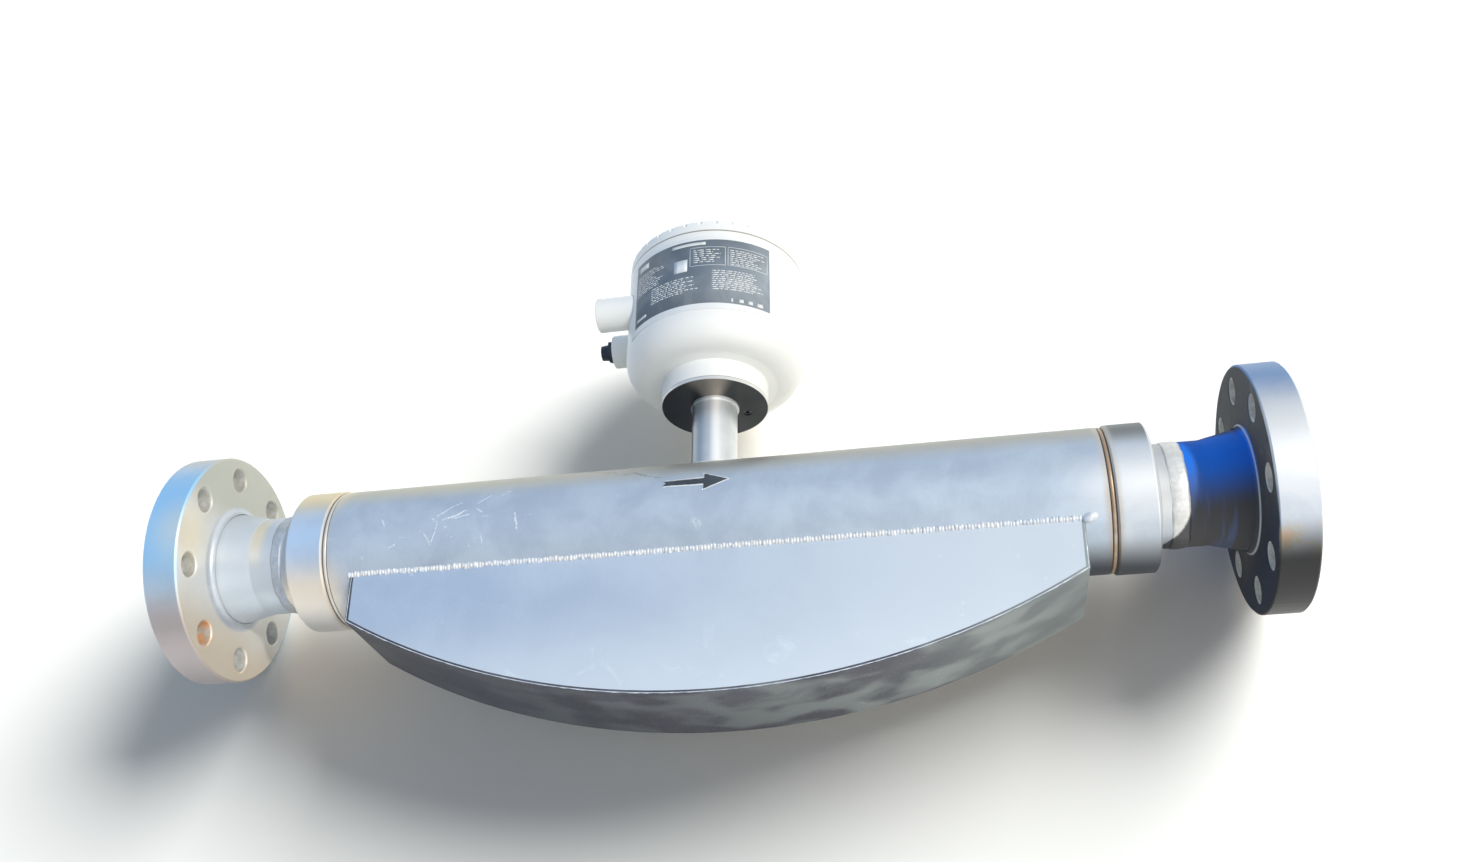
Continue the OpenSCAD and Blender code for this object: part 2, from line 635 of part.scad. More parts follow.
module head_housing() {
    color([0.93, 0.93, 0.9]) place() difference() {
        union() {
            difference() {
                union() {
                    head_outer();
                    both_sides() translate([-entry_reach, entry_y, entry_z]) rotate([0, 90, 0]) {
                        cylinder(d1 = entry_boss_d - 1.6, d2 = entry_boss_d, h = 0.8);
                        translate([0, 0, 0.8]) cylinder(d = entry_boss_d, h = entry_reach - 45);
                    }
                    // earthing boss on the hidden side
                    translate([0, head_r - 8, bowl_z + 46]) rotate([-90, 0, 0]) cylinder(d = 18, h = 12);
                }
                head_inner();
            }
            // posts for the electronics
            for (a = [30, 150, 270]) rotate([0, 0, a]) translate([post_at, 0, floor_z - 1])
                cylinder(d = 9, h = carrier_z - floor_z + 1);
        }
        // swivel bore, counterbore for the adapter's step
        translate([0, 0, step_z - 1]) cylinder(r = swivel_r + fit_gap, h = head_collar_h + 20);
        translate([0, 0, step_z - 1]) cylinder(d = adapter_step_d + 2 * free_gap, h = adapter_step_h + 1 + free_gap);
        // cable entries
        both_sides() translate([-entry_reach - 1, entry_y, entry_z]) rotate([0, 90, 0])
            cylinder(d = entry_bore_d, h = entry_reach - 40);
        both_sides() translate([-entry_reach - 0.01, entry_y, entry_z]) rotate([0, 90, 0])
            cylinder(d1 = entry_bore_d + 3, d2 = entry_bore_d, h = 1.5);
        translate([0, head_r - 6, bowl_z + 46]) rotate([-90, 0, 0]) cylinder(d = 5, h = 20);
    }
}
module nameplate() {
    color([0.25, 0.29, 0.33]) place() translate([0, 0, bowl_z + plate_low])
        rotate([0, 0, -90 - plate_from]) rotate_extrude(angle = plate_from + plate_to)
            translate([head_r + skin_gap, 0]) square([plate_t, plate_h]);
}
module rear_entry_plug() {
    color([0.07, 0.07, 0.08]) place() translate([-entry_reach, entry_y, entry_z]) rotate([0, -90, 0]) {
        translate([0, 0, 0.02]) cylinder(d = 24, h = 5, $fn = 6);
        translate([0, 0, 5]) cylinder(d1 = 16.5, d2 = 15, h = 8);
        translate([0, 0, -plug_l]) cylinder(d = entry_bore_d - 0.1, h = plug_l + 1);
    }
}
module earth_screw() {
    color([0.75, 0.76, 0.76]) place() translate([0, head_r + 4.02, bowl_z + 46]) rotate([-90, 0, 0]) {
        cylinder(d = 13, h = 2);
        difference() {
            translate([0, 0, 2]) cylinder(d = 9, h = 3.4);
            translate([-0.7, -6, 4.4]) cube([1.4, 12, 2]);
        }
        translate([0, 0, -8]) cylinder(d = 4.9, h = 9);
    }
}

// ---------- electronics ----------
module carrier_plate() {
    color([0.16, 0.17, 0.18]) place() translate([0, 0, carrier_z]) difference() {
        cylinder(d = carrier_d, h = carrier_t);
        translate([0, 0, -1]) cylinder(d = adapter_bore_d, h = carrier_t + 2);
    }
}
module board_spacers() {
    color([0.75, 0.75, 0.7]) place() for (a = [45:90:315]) rotate([0, 0, a])
        translate([spacer_at, 0, carrier_z + carrier_t]) cylinder(d = spacer_d, h = board_z - carrier_z - carrier_t, $fn = 6);
}
module main_board() { color([0.08, 0.33, 0.2]) place() translate([0, 0, board_z]) cylinder(d = board_d, h = board_t); }
module sensor_connector() {
    color([0.9, 0.88, 0.8]) place() translate([-connector_w / 2, -connector_l / 2, board_z - connector_h])
        cube([connector_w, connector_l, connector_h]);
}
module shield_can() {
    color([0.7, 0.71, 0.72]) place() translate([term_w - term_at + can_gap, -can_l / 2, board_z + board_t]) difference() {
        cube([can_w, can_l, can_h]);
        translate([can_t, can_t, -1]) cube([can_w - 2 * can_t, can_l - 2 * can_t, can_h + 1 - can_t]);
    }
}
module terminal_block() {
    color([0.15, 0.35, 0.2]) place() difference() {
        translate([-term_at, -term_l / 2, board_z + board_t]) cube([term_w, term_l, term_h]);
        for (i = [0:term_count - 1])
            translate([-term_at + 4, -term_l / 2 + (i + 0.5) * term_pitch, board_z + board_t + term_h / 2]) {
                cylinder(d = 4.2, h = term_h, $fn = 24);
                translate([-10, 0, -3]) rotate([0, 90, 0]) cylinder(d = 3.6, h = 12, $fn = 24);
            }
    }
}
module display_posts() {
    color([0.75, 0.75, 0.7]) place() for (a = [55, 125, 235, 305]) rotate([0, 0, a])
        translate([display_d / 2 - post_inset, 0, board_z + board_t])
            cylinder(d = post_d, h = display_z - board_z - board_t, $fn = 6);
}
module display_module() {
    color([0.1, 0.1, 0.11]) place() translate([0, 0, display_z]) difference() {
        cylinder(d = display_d, h = display_t);
        translate([-screen_w / 2, screen_top - screen_h, display_t - screen_t]) cube([screen_w, screen_h, screen_t + 2]);
        for (i = [-1:1]) translate([i * 2 * button_d, screen_top - screen_h - button_d - 2, display_t - 1])
            cylinder(d = button_d, h = 3);
    }
}
module display_glass() {
    color([0.55, 0.62, 0.5]) place() translate([free_gap - screen_w / 2, screen_top - screen_h + free_gap, display_z + display_t - screen_t])
        cube([screen_w - 2 * free_gap, screen_h - 2 * free_gap, screen_t - 0.6]);
}

// ---------- lid ----------
module lid_seal() {
    color([0.1, 0.1, 0.1]) place() translate([0, 0, head_top - 2.6])
        rotate_extrude() translate([thread_r - 1.5, 0]) circle(r = 1.4, $fn = 32);
}
module lid() {
    bz = lid_bezel_d / 2;
    color([0.94, 0.94, 0.91]) place() difference() {
        rotate_extrude() difference() {
            polygon([[0, lid_z + 4], [thread_r - 7, lid_z + 4], [thread_r - 7, head_top - lid_thread_h],
                [thread_r - 1, head_top - lid_thread_h], [thread_r, head_top - lid_thread_h + 1],
                [thread_r, lid_z], [head_r, lid_z], [head_r, lid_top - 1.2], [head_r - 1.2, lid_top],
                [bz + 3, lid_top], [bz, lid_top + lid_bezel_h], [window_d / 2 + 4, lid_top + lid_bezel_h],
                [window_d / 2, lid_top + lid_bezel_h - 2], [0, lid_top + lid_bezel_h - 2]]);
            // seal groove
            translate([thread_r - 3.2, head_top - 4.2]) square([10, 3.2]);
            // window opening and its seat
            translate([-1, 0]) square([window_d / 2 + 1, 1000]);
            translate([-1, 0]) square([window_d / 2 + 7, window_z + window_t + 0.02]);
        }
        for (i = [0:notch_count - 1]) rotate([0, 0, i * 360 / notch_count])
            translate([head_r + 0.4, 0, lid_top - notch_h]) cylinder(d = notch_w, h = notch_h + 2, $fn = 32);
    }
}
module lid_window() {
    color([0.7, 0.8, 0.82, 0.4]) place() translate([0, 0, window_z]) cylinder(r = window_d / 2 + 6 - 0.1, h = window_t);
}
module window_ring() {
    color([0.2, 0.2, 0.21]) place() translate([0, 0, window_z - 3.02]) difference() {
        cylinder(r = window_d / 2 + 6 - 0.02, h = 3);
        translate([0, 0, -1]) cylinder(r = window_d / 2 - 1, h = 5);
    }
}

inlet_flange();
outlet_flange();
neck_welds();
inlet_manifold();
outlet_manifold();
ring_welds();
housing_tube();
belly_front_plate();
belly_rear_plate();
belly_bottom_band();
belly_end_inlet();
belly_end_outlet();
seam_welds();
measuring_tube_front();
measuring_tube_rear();
brace_plates();
coil_brackets();
drive_coil();
drive_magnet();
pickoff_coils();
pickoff_magnets();
temperature_sensor();
stem();
stem_weld();
feedthrough();
signal_cable();
neck_adapter();
lock_screw();
swivel_seal();
retaining_ring();
head_housing();
nameplate();
rear_entry_plug();
earth_screw();
carrier_plate();
board_spacers();
main_board();
sensor_connector();
shield_can();
terminal_block();
display_posts();
display_module();
display_glass();
lid_seal();
lid();
lid_window();
window_ring();
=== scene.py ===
"""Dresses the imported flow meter: finishes, weld beads, printed plate, arrow, floor, light and camera."""

import logging
import math
import random
from dataclasses import dataclass
from enum import Enum
from typing import Dict, List, Optional, Sequence, Tuple, Union

import bmesh
import bpy
from mathutils import Matrix, Vector, noise


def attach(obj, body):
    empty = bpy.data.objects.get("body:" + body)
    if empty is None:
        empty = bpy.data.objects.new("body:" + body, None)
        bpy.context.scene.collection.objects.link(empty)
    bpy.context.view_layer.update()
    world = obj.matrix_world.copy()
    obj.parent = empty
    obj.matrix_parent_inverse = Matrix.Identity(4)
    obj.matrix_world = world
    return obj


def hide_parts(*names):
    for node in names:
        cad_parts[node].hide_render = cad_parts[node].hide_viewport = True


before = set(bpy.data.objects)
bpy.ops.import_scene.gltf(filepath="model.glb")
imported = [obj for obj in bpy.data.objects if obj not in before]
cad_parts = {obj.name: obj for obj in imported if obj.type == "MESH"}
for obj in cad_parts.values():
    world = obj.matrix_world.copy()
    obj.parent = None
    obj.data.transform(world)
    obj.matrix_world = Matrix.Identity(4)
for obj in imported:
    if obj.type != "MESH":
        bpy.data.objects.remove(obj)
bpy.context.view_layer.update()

log = logging.getLogger("flow_meter")

Socket = bpy.types.NodeSocket
Value = Union[Socket, float]
Colour = Tuple[float, float, float]
Tone = Union[Socket, Colour]

MM = 0.001
CENTRE_X = 0.491
LENGTH = 0.982
# the flanges: raised face to the rim's back, the rim's radius, the bolt holes and where the hub begins
RIM_BACK = 0.0382
RIM_R = 0.1035
HOLE_CIRCLE = 0.08405
HOLE_R = 0.0111
HUB_R = 0.0545
# the pipe, its butt welds, the housing tube, the plates of the belly and the seam between them
PIPE_R = 0.04445
WELD_X = 0.0972
TUBE_R = 0.0626
GROOVE_FROM_CENTRE = 0.3379
PLATE_Y = 0.0481
SEAM_Z = -math.sqrt(TUBE_R**2 - PLATE_Y**2)
SEAM_HALF = 0.3155
# the arc of the belly's lower edge
ARC_R = 0.62847
ARC_Z = 0.46127
ARC_HALF = 0.3125
# the belly's short ends lean outwards: half the length at the seam, and how low they reach
END_HALF = 0.3142
END_LOW = -0.084
# how thick a layer of print or paint is
INK = 0.04 * MM
# the head's cable entries
ENTRY_Y = 0.031
ENTRY_Z = 0.2295
SUN = (0.602, -0.799, 0.007)
# the colour of the outlet flange's painted shadow
SHADE = (0.04, 0.04, 0.045)
Stroke = Tuple[Tuple[float, float], Tuple[float, float], float]

# strokes on the tube's front as (x, z) of both ends and half the width
SCRATCHES: Tuple[Stroke, ...] = (
    ((0.2445, -0.0105), (0.2515, -0.0215), 0.0006),
    ((0.2515, -0.0215), (0.2575, -0.0035), 0.0006),
    ((0.2555, 0.0035), (0.2765, 0.0165), 0.0008),
    ((0.262, -0.001), (0.2825, 0.0075), 0.0011),
    ((0.27, 0.0005), (0.286, 0.0035), 0.0009),
    ((0.2905, 0.0135), (0.3025, 0.0225), 0.0007),
    ((0.2925, 0.0085), (0.2975, 0.0045), 0.0008),
    ((0.297, -0.0165), (0.299, -0.0235), 0.0007),
    ((0.3095, 0.0205), (0.3195, 0.0265), 0.0006),
    ((0.3275, 0.0015), (0.3305, -0.0145), 0.0011),
    ((0.205, 0.005), (0.2085, -0.002), 0.0009),
    ((0.213, -0.0215), (0.219, -0.019), 0.0008),
)
PENCIL: Tuple[Stroke, ...] = (
    ((0.383, 0.0505), (0.406, 0.041), 0.0008),
    ((0.404, 0.0435), (0.413, 0.0395), 0.0011),
    ((0.4195, 0.036), (0.4315, 0.0385), 0.0008),
    ((0.429, 0.0375), (0.441, 0.0325), 0.001),
    ((0.4395, 0.0315), (0.4555, 0.0265), 0.0007),
)


class Body(Enum):
    """The moving bodies that a piece can ride on."""

    CASE = "case"
    HEAD = "head"


class Slot(Enum):
    """The names of three of the record's material slots."""

    WELD = "weld_metal"
    CASE = "case_steel"
    PLATE = "plate"


class Side(Enum):
    """Which end of the meter a flange belongs to."""

    INLET = "inlet"
    OUTLET = "outlet"


# ---------------------------------------------------------------- shaders


class Graph:
    """The node tree of a material or of the sky, with one short call for each kind of node."""

    def __init__(self, name: str, sky: bool = False) -> None:
        """Starts an empty tree.

        Args:
            name: the material's or the sky's name.
            sky: whether it is the sky.
        """
        self.owner = bpy.data.worlds.new(name) if sky else bpy.data.materials.new(name)
        self.owner.use_nodes = True
        self.tree = self.owner.node_tree
        self.tree.nodes.clear()
        self.output = self.tree.nodes.new("ShaderNodeOutputWorld" if sky else "ShaderNodeOutputMaterial")
        self._xyz: Optional[Tuple[Socket, Socket, Socket]] = None
        self._object: Optional[Socket] = None

    def new(self, kind: str, *fed: object, **settings: object) -> bpy.types.Node:
        """Adds a node.

        Args:
            kind: the node's type name.
            fed: what goes into its first inputs.
            settings: properties to set on it.

        Returns:
            The node.
        """
        node = self.tree.nodes.new(kind)
        for key, value in settings.items():
            setattr(node, key, value)
        for socket, value in zip(node.inputs, fed):
            self.feed(socket, value)
        return node

    def feed(self, socket: Socket, value: object) -> None:
        """Links a socket, or sets its own value.

        Args:
            socket: the input.
            value: another node's output, a number, a vector or a colour.
        """
        if isinstance(value, bpy.types.NodeSocket):
            self.tree.links.new(value, socket)
        elif isinstance(value, (tuple, list)) and socket.type == "RGBA":
            socket.default_value = (*value[:3], 1.0)
        else:
            socket.default_value = value

    @property
    def place(self) -> Socket:
        """The object coordinates, which are the row frame's metres.

        Returns:
            The coordinates' socket.
        """
        if self._object is None:
            self._object = self.new("ShaderNodeTexCoord").outputs["Object"]
        return self._object

    @property
    def xyz(self) -> Tuple[Socket, Socket, Socket]:
        """The object coordinates one by one.

        Returns:
            The sockets of X, Y and Z.
        """
        if self._xyz is None:
            self._xyz = tuple(self.new("ShaderNodeSeparateXYZ", self.place).outputs)
        return self._xyz

    def math(self, operation: str, a: Value, b: Value = 0.0, c: Value = 0.0) -> Socket:
        """The result of a Math node."""
        return self.new("ShaderNodeMath", a, b, c, operation=operation).outputs[0]

    def vector(self, scale: Sequence[float]) -> Socket:
        """The place, multiplied by one factor for each axis."""
        return self.new("ShaderNodeVectorMath", self.place, tuple(scale), operation="MULTIPLY").outputs[0]

    def combine(self, x: Value, y: Value, z: Value) -> Socket:
        """Three values as one vector."""
        return self.new("ShaderNodeCombineXYZ", x, y, z).outputs[0]

    def noise(
        self,
        scale: float,
        detail: float = 2.0,
        rough: float = 0.5,
        vector: Optional[Socket] = None,
        twist: float = 0.0,
    ) -> Socket:
        """A Noise texture.

        Args:
            scale: cells per metre.
            detail: octaves.
            rough: share of each finer octave.
            vector: coordinates, or the place.
            twist: distortion.

        Returns:
            Its factor, from 0 to 1.
        """
        node = self.new("ShaderNodeTexNoise", vector or self.place)
        settings = {"Scale": scale, "Detail": detail, "Roughness": rough, "Distortion": twist}
        for name, value in settings.items():
            node.inputs[name].default_value = value
        return node.outputs["Fac"]

    def cells(self, scale: float) -> Socket:
        """A Voronoi texture.

        Args:
            scale: cells per metre.

        Returns:
            The distance to the nearest cell's centre.
        """
        node = self.new("ShaderNodeTexVoronoi", self.place)
        node.inputs["Scale"].default_value = scale
        return node.outputs["Distance"]

    def step(self, value: Value, low: float, high: float) -> Socket:
        """A smooth step from 0 at low to 1 at high.

        Args:
            value: what is compared.
            low: where the result is 0.
            high: where the result is 1; below low it falls instead of rising.

        Returns:
            The step.
        """
        ends = (low, high, 0.0, 1.0) if low < high else (high, low, 1.0, 0.0)
        return self.new("ShaderNodeMapRange", value, *ends, interpolation_type="SMOOTHSTEP").outputs[0]

    def band(self, value: Value, low: float, high: float, soft: float) -> Socket:
        """A mask that is 1 between low and high, with edges soft by soft to each side."""
        return self.both(self.step(value, low - soft, low + soft), self.step(value, high + soft, high - soft))

    def both(self, *masks: Value) -> Value:
        """Several masks as one.

        Args:
            masks: masks or shares.

        Returns:
            Their product.
        """
        out = masks[0]
        for mask in masks[1:]:
            out = self.math("MULTIPLY", out, mask)
        return out

    def mix(self, factor: Value, first: Tone, second: Tone) -> Socket:
        """A colour mix.

        Args:
            factor: 0 gives the first colour, 1 the second.
            first: a colour.
            second: a colour.

        Returns:
            The mixed colour.
        """
        node = self.new("ShaderNodeMix", factor, data_type="RGBA", clamp_factor=True)
        self.feed(node.inputs[6], first)
        self.feed(node.inputs[7], second)
        return node.outputs[2]

    def tint(self, under: Socket, tone: Tone, *masks: Value) -> Socket:
        """A tone laid over a colour where all the masks are 1."""
        return self.mix(self.both(*masks), under, tone)

    def blend(self, factor: Value, first: Value, second: Value) -> Socket:
        """A number mix.

        Args:
            factor: 0 gives the first number, 1 the second.
            first: a number.
            second: a number.

        Returns:
            The mixed number.
        """
        node = self.new("ShaderNodeMix", factor, data_type="FLOAT", clamp_factor=True)
        self.feed(node.inputs[2], first)
        self.feed(node.inputs[3], second)
        return node.outputs[0]

    def bump(
        self, height: Socket, depth: float, strength: float = 1.0, normal: Optional[Socket] = None
    ) -> Socket:
        """A Bump node.

        Args:
            height: the height, from 0 to 1.
            depth: the height's size in metres.
            strength: its share.
            normal: a normal to build on.

        Returns:
            The bumped normal.
        """
        node = self.new("ShaderNodeBump")
        for name, value in (("Strength", strength), ("Distance", depth), ("Height", height)):
            self.feed(node.inputs[name], value)
        if normal is not None:
            self.feed(node.inputs["Normal"], normal)
        return node.outputs["Normal"]

    def across(self, y0: float, z0: float) -> Socket:
        """The distance from a line along X.

        Args:
            y0: the line's place on Y.
            z0: its place on Z.

        Returns:
            The distance.
        """
        _, y, z = self.xyz
        dy, dz = self.math("SUBTRACT", y, y0), self.math("SUBTRACT", z, z0)
        return self.math("SQRT", self.math("ADD", self.both(dy, dy), self.both(dz, dz)))

    def stroke(self, start: Tuple[float, float], end: Tuple[float, float], width: float) -> Socket:
        """A ragged scratch between two points of the XZ plane, on the front side.

        Args:
            start: where it begins, as (x, z).
            end: where it ends.
            width: half its width.

        Returns:
            The mask.
        """
        x, y, z = self.xyz
        run = math.hypot(end[0] - start[0], end[1] - start[1])
        ux, uz = (end[0] - start[0]) / run, (end[1] - start[1]) / run
        dx, dz = self.math("SUBTRACT", x, start[0]), self.math("SUBTRACT", z, start[1])
        along = self.math("ADD", self.math("MULTIPLY", dx, ux), self.math("MULTIPLY", dz, uz))
        aside = self.math("SUBTRACT", self.math("MULTIPLY", dx, -uz), self.math("MULTIPLY", dz, -ux))
        wander = self.math("MULTIPLY_ADD", self.noise(120.0, 3.0), 4 * width, -2 * width)
        line = self.step(self.math("ABSOLUTE", self.math("ADD", aside, wander)), width, 0.3 * width)
        broken = self.step(self.noise(420.0, 3.0, 0.7), 0.34, 0.52)
        return self.both(line, self.band(along, 0.0, run, 0.0012), self.step(y, 0.0, -0.02), broken)

    def flange_shade(self) -> Socket:
        """The zone beside the outlet's flange where the rim's cast shadow is painted, with the curved edge
        that the rim's shadow draws.

        Returns:
            The mask.
        """
        x, y, z = self.xyz
        run = self.math("MULTIPLY", self.math("SUBTRACT", LENGTH - RIM_BACK, x), -SUN[1] / SUN[0])
        dy = self.math("SUBTRACT", y, run)
        away = self.math("SQRT", self.math("ADD", self.both(dy, dy), self.both(z, z)))
        return self.both(self.step(away, 0.107, 0.1035), self.step(y, 0.04, 0.03), self.step(x, 0.862, 0.866))

    def near(self, at: Sequence[float], reach: float) -> Socket:
        """A round patch that is 1 at a point and has faded at its reach."""
        away = self.new("ShaderNodeVectorMath", self.place, tuple(at), operation="DISTANCE").outputs["Value"]
        return self.step(away, reach, 0.0)

    def finish(
        self,
        colour: Tone,
        roughness: Value,
        metallic: Value = 0.0,
        normal: Optional[Socket] = None,
        **sockets: Value,
    ) -> bpy.types.Material:
        """Closes the tree with a Principled shader.

        Args:
            colour: base colour.
            roughness: roughness.
            metallic: metallic share.
            normal: bumped normal.
            sockets: other inputs by name, with _ for a space.

        Returns:
            The material.
        """
        shader = self.new("ShaderNodeBsdfPrincipled")
        self.feed(shader.inputs["Base Color"], colour)
        self.feed(shader.inputs["Roughness"], roughness)
        self.feed(shader.inputs["Metallic"], metallic)
        if normal is not None:
            self.feed(shader.inputs["Normal"], normal)
        for name, value in sockets.items():
            self.feed(shader.inputs[name.replace("_", " ")], value)
        return self.close(shader)

    def close(self, shader: bpy.types.Node) -> Union[bpy.types.Material, bpy.types.World]:
        """Leads a shader to the output.

        Args:
            shader: the last shader.

        Returns:
            The finished material or sky.
        """
        self.tree.links.new(shader.outputs[0], self.output.inputs["Surface"])
        return self.owner


@dataclass(frozen=True)
class Finish:
    """A material that is built from its own values."""

    name: str

    def build(self) -> bpy.types.Material:
        """Makes the material."""
        raise NotImplementedError


@dataclass(frozen=True)
class BrushedSteel(Finish):
    """Satin stainless steel: brush lines, cloudy handling marks and fine scratches."""

    light: Colour
    dark: Colour
    grain: Tuple[float, float, float] = (1500.0, 60.0, 60.0)
    metallic: float = 0.45
    roughness: float = 0.42
    depth: float = 0.00006
    cloud: float = 22.0

    def base(self, g: Graph) -> Tuple[Socket, Socket, Socket]:
        """The steel's colour, roughness and normal before any stain.

        Args:
            g: the graph to draw in.

        Returns:
            Colour, roughness and normal.
        """
        clouds = g.noise(self.cloud, 5.0, 0.6, twist=0.4)
        brush = g.noise(1.0, 3.0, 0.65, g.vector(self.grain))
        grit = g.noise(900.0, 2.0, 0.5)
        colour = g.mix(g.step(clouds, 0.32, 0.7), self.dark, self.light)
        colour = g.tint(colour, self.dark, g.step(brush, 0.5, 0.8), 0.35)
        colour = g.tint(colour, (0.9, 0.92, 0.93), g.step(grit, 0.56, 0.78), 0.22)
        scratch = g.step(g.noise(14.0, 6.0, 0.75, g.vector((1.0, 9.0, 5.0)), 1.6), 0.685, 0.72)
        colour = g.tint(colour, (0.88, 0.9, 0.92), scratch, 0.4)
        rough = g.blend(clouds, self.roughness - 0.07, self.roughness + 0.1)
        height = g.math("ADD", brush, g.math("MULTIPLY", grit, 0.35))
        return colour, rough, g.bump(height, self.depth, 0.5)

    def stain(self, g: Graph, colour: Socket) -> Socket:
        """Marks on top of the plain steel; the plain finish has none."""
        return colour

    def build(self) -> bpy.types.Material:
        """Makes the material.

        Returns:
            The material.
        """
        g = Graph(self.name)
        colour, rough, normal = self.base(g)
        return g.finish(self.stain(g, colour), rough, self.metallic, normal)


@dataclass(frozen=True)
class FlangeSteel(BrushedSteel):
    """Turned flange steel with washer rings and stains round the bolt holes."""

    side: Side = Side.INLET

    def hole_distance(self, g: Graph) -> Socket:
        """The distance from the nearest bolt hole's axis, folded into one eighth of the circle.

        Args:
            g: the graph.

        Returns:
            The distance.
        """
        _, y, z = g.xyz
        radius = g.across(0.0, 0.0)
        turn = g.math("ARCTAN2", z, y)
        turn = g.math("FLOORED_MODULO", turn, math.pi / 4)
        turn = g.math("COSINE", g.math("SUBTRACT", turn, math.pi / 8))
        squares = g.math("ADD", g.both(radius, radius), HOLE_CIRCLE**2)
        cross = g.both(radius, turn, 2 * HOLE_CIRCLE)
        return g.math("SQRT", g.math("MAXIMUM", g.math("SUBTRACT", squares, cross), 0.0))

    def depth_in(self, g: Graph) -> Socket:
        """The distance behind the flange's raised face."""
        x = g.xyz[0]
        return x if self.side is Side.INLET else g.math("SUBTRACT", LENGTH, x)

    def behind(self, g: Graph) -> Socket:
        """A mask of what lies behind the rim's back."""
        return g.step(self.depth_in(g), RIM_BACK - 1.2 * MM, RIM_BACK - 0.2 * MM)

    def stain(self, g: Graph, colour: Socket) -> Socket:
        """Washer rings, stained holes and the marks, painted light and painted shade of the flange's own
        side.

        Args:
            g: the graph.
            colour: the plain steel.

        Returns:
            The stained colour.
        """
        radius = g.across(0.0, 0.0)
        wander = g.math("MULTIPLY_ADD", g.noise(60.0, 3.0), 0.006, -0.003)
        hole = g.math("ADD", self.hole_distance(g), wander)
        patch = g.step(g.noise(28.0, 4.0, 0.6), 0.42, 0.62)
        rim = g.step(radius, 0.0585, 0.062)
        colour = g.tint(colour, (0.6, 0.48, 0.3), g.band(hole, 0.0118, 0.0172, 0.0012), patch, rim, 0.8)
        line = g.band(self.hole_distance(g), 0.0168, 0.0174, 0.0004)
        colour = g.tint(colour, (0.3, 0.3, 0.27), line, rim, 0.55)
        lip = g.band(self.hole_distance(g), 0.0112, 0.0124, 0.0003)
        colour = g.tint(colour, (0.86, 0.87, 0.84), lip, rim, 0.5)
        inside = g.step(self.hole_distance(g), HOLE_R + 0.25 * MM, HOLE_R)
        rust = g.mix(g.step(g.noise(120.0, 4.0, 0.7), 0.35, 0.7), (0.58, 0.55, 0.47), (0.84, 0.84, 0.82))
        colour = g.tint(colour, rust, inside, rim, 0.8)
        marks = self.inlet_marks if self.side is Side.INLET else self.outlet_marks
        return marks(g, colour, self.depth_in(g), radius)

    def inlet_marks(self, g: Graph, colour: Socket, depth: Socket, radius: Socket) -> Socket:
        """The inlet's clouded face, darker towards the top and warmer towards the bottom, with a painted warm
        highlight; its rim, with a painted blue sky reflection across the middle, warm brown towards the
        bottom and warmer grey at the top; its orange hole; and the hub's tone, bluer low down, with a painted
        warm reflection.

        Args:
            g: the graph.
            colour: the steel so far.
            depth: the distance behind the raised face.
            radius: the distance from the pipe's axis.

        Returns:
            The stained colour.
        """
        face = g.band(depth, RIM_BACK - 1.2 * MM, RIM_BACK + 4.0 * MM, 0.8 * MM)
        face = g.both(face, g.step(radius, 0.056, 0.06))
        z = g.xyz[2]
        tone = g.mix(g.noise(24.0, 5.0, 0.6), (0.62, 0.62, 0.56), (0.88, 0.88, 0.87))
        tone = g.tint(tone, (0.4, 0.41, 0.33), g.step(z, 0.005, 0.05), 0.75)
        tone = g.tint(tone, (0.8, 0.66, 0.48), g.step(z, -0.03, -0.085), 0.7)
        colour = g.tint(colour, tone, face, 0.9)
        rim = g.step(radius, RIM_R - 1.0 * MM, RIM_R)
        # painted blue sky reflection across the middle of the rim
        colour = g.tint(colour, (0.3, 0.66, 1.0), rim, g.band(z, -0.05, 0.06, 0.03), 0.8)
        colour = g.tint(colour, (0.44, 0.37, 0.35), rim, g.step(z, -0.055, -0.085), 0.75)
        colour = g.tint(colour, (0.55, 0.51, 0.43), rim, g.step(z, 0.05, 0.09), 0.7)
        # a painted warm highlight on the face
        colour = g.tint(colour, (0.93, 0.8, 0.55), g.near((0.038, -0.088, -0.008), 0.042), 0.6)
        orange = g.step(g.across(-0.0322, -0.0777), 0.0135, 0.0105)
        hole = g.both(orange, g.step(g.noise(90.0, 3.0), 0.38, 0.6))
        colour = g.tint(colour, (0.83, 0.43, 0.16), hole, 0.9)
        hub = g.both(g.band(depth, 0.045, 0.094, 0.004), g.step(radius, 0.06, 0.056))
        colour = g.tint(colour, (0.62, 0.68, 0.74), hub, 0.75)
        colour = g.tint(colour, (0.58, 0.67, 0.76), hub, g.band(z, -0.05, -0.024, 0.01), 0.8)
        # a painted warm reflection on the hub
        warm = g.both(g.band(depth, 0.071, 0.083, 0.004), g.near((0.077, -0.04, 0.012), 0.04), 0.8)
        return g.mix(warm, colour, (0.86, 0.77, 0.55))

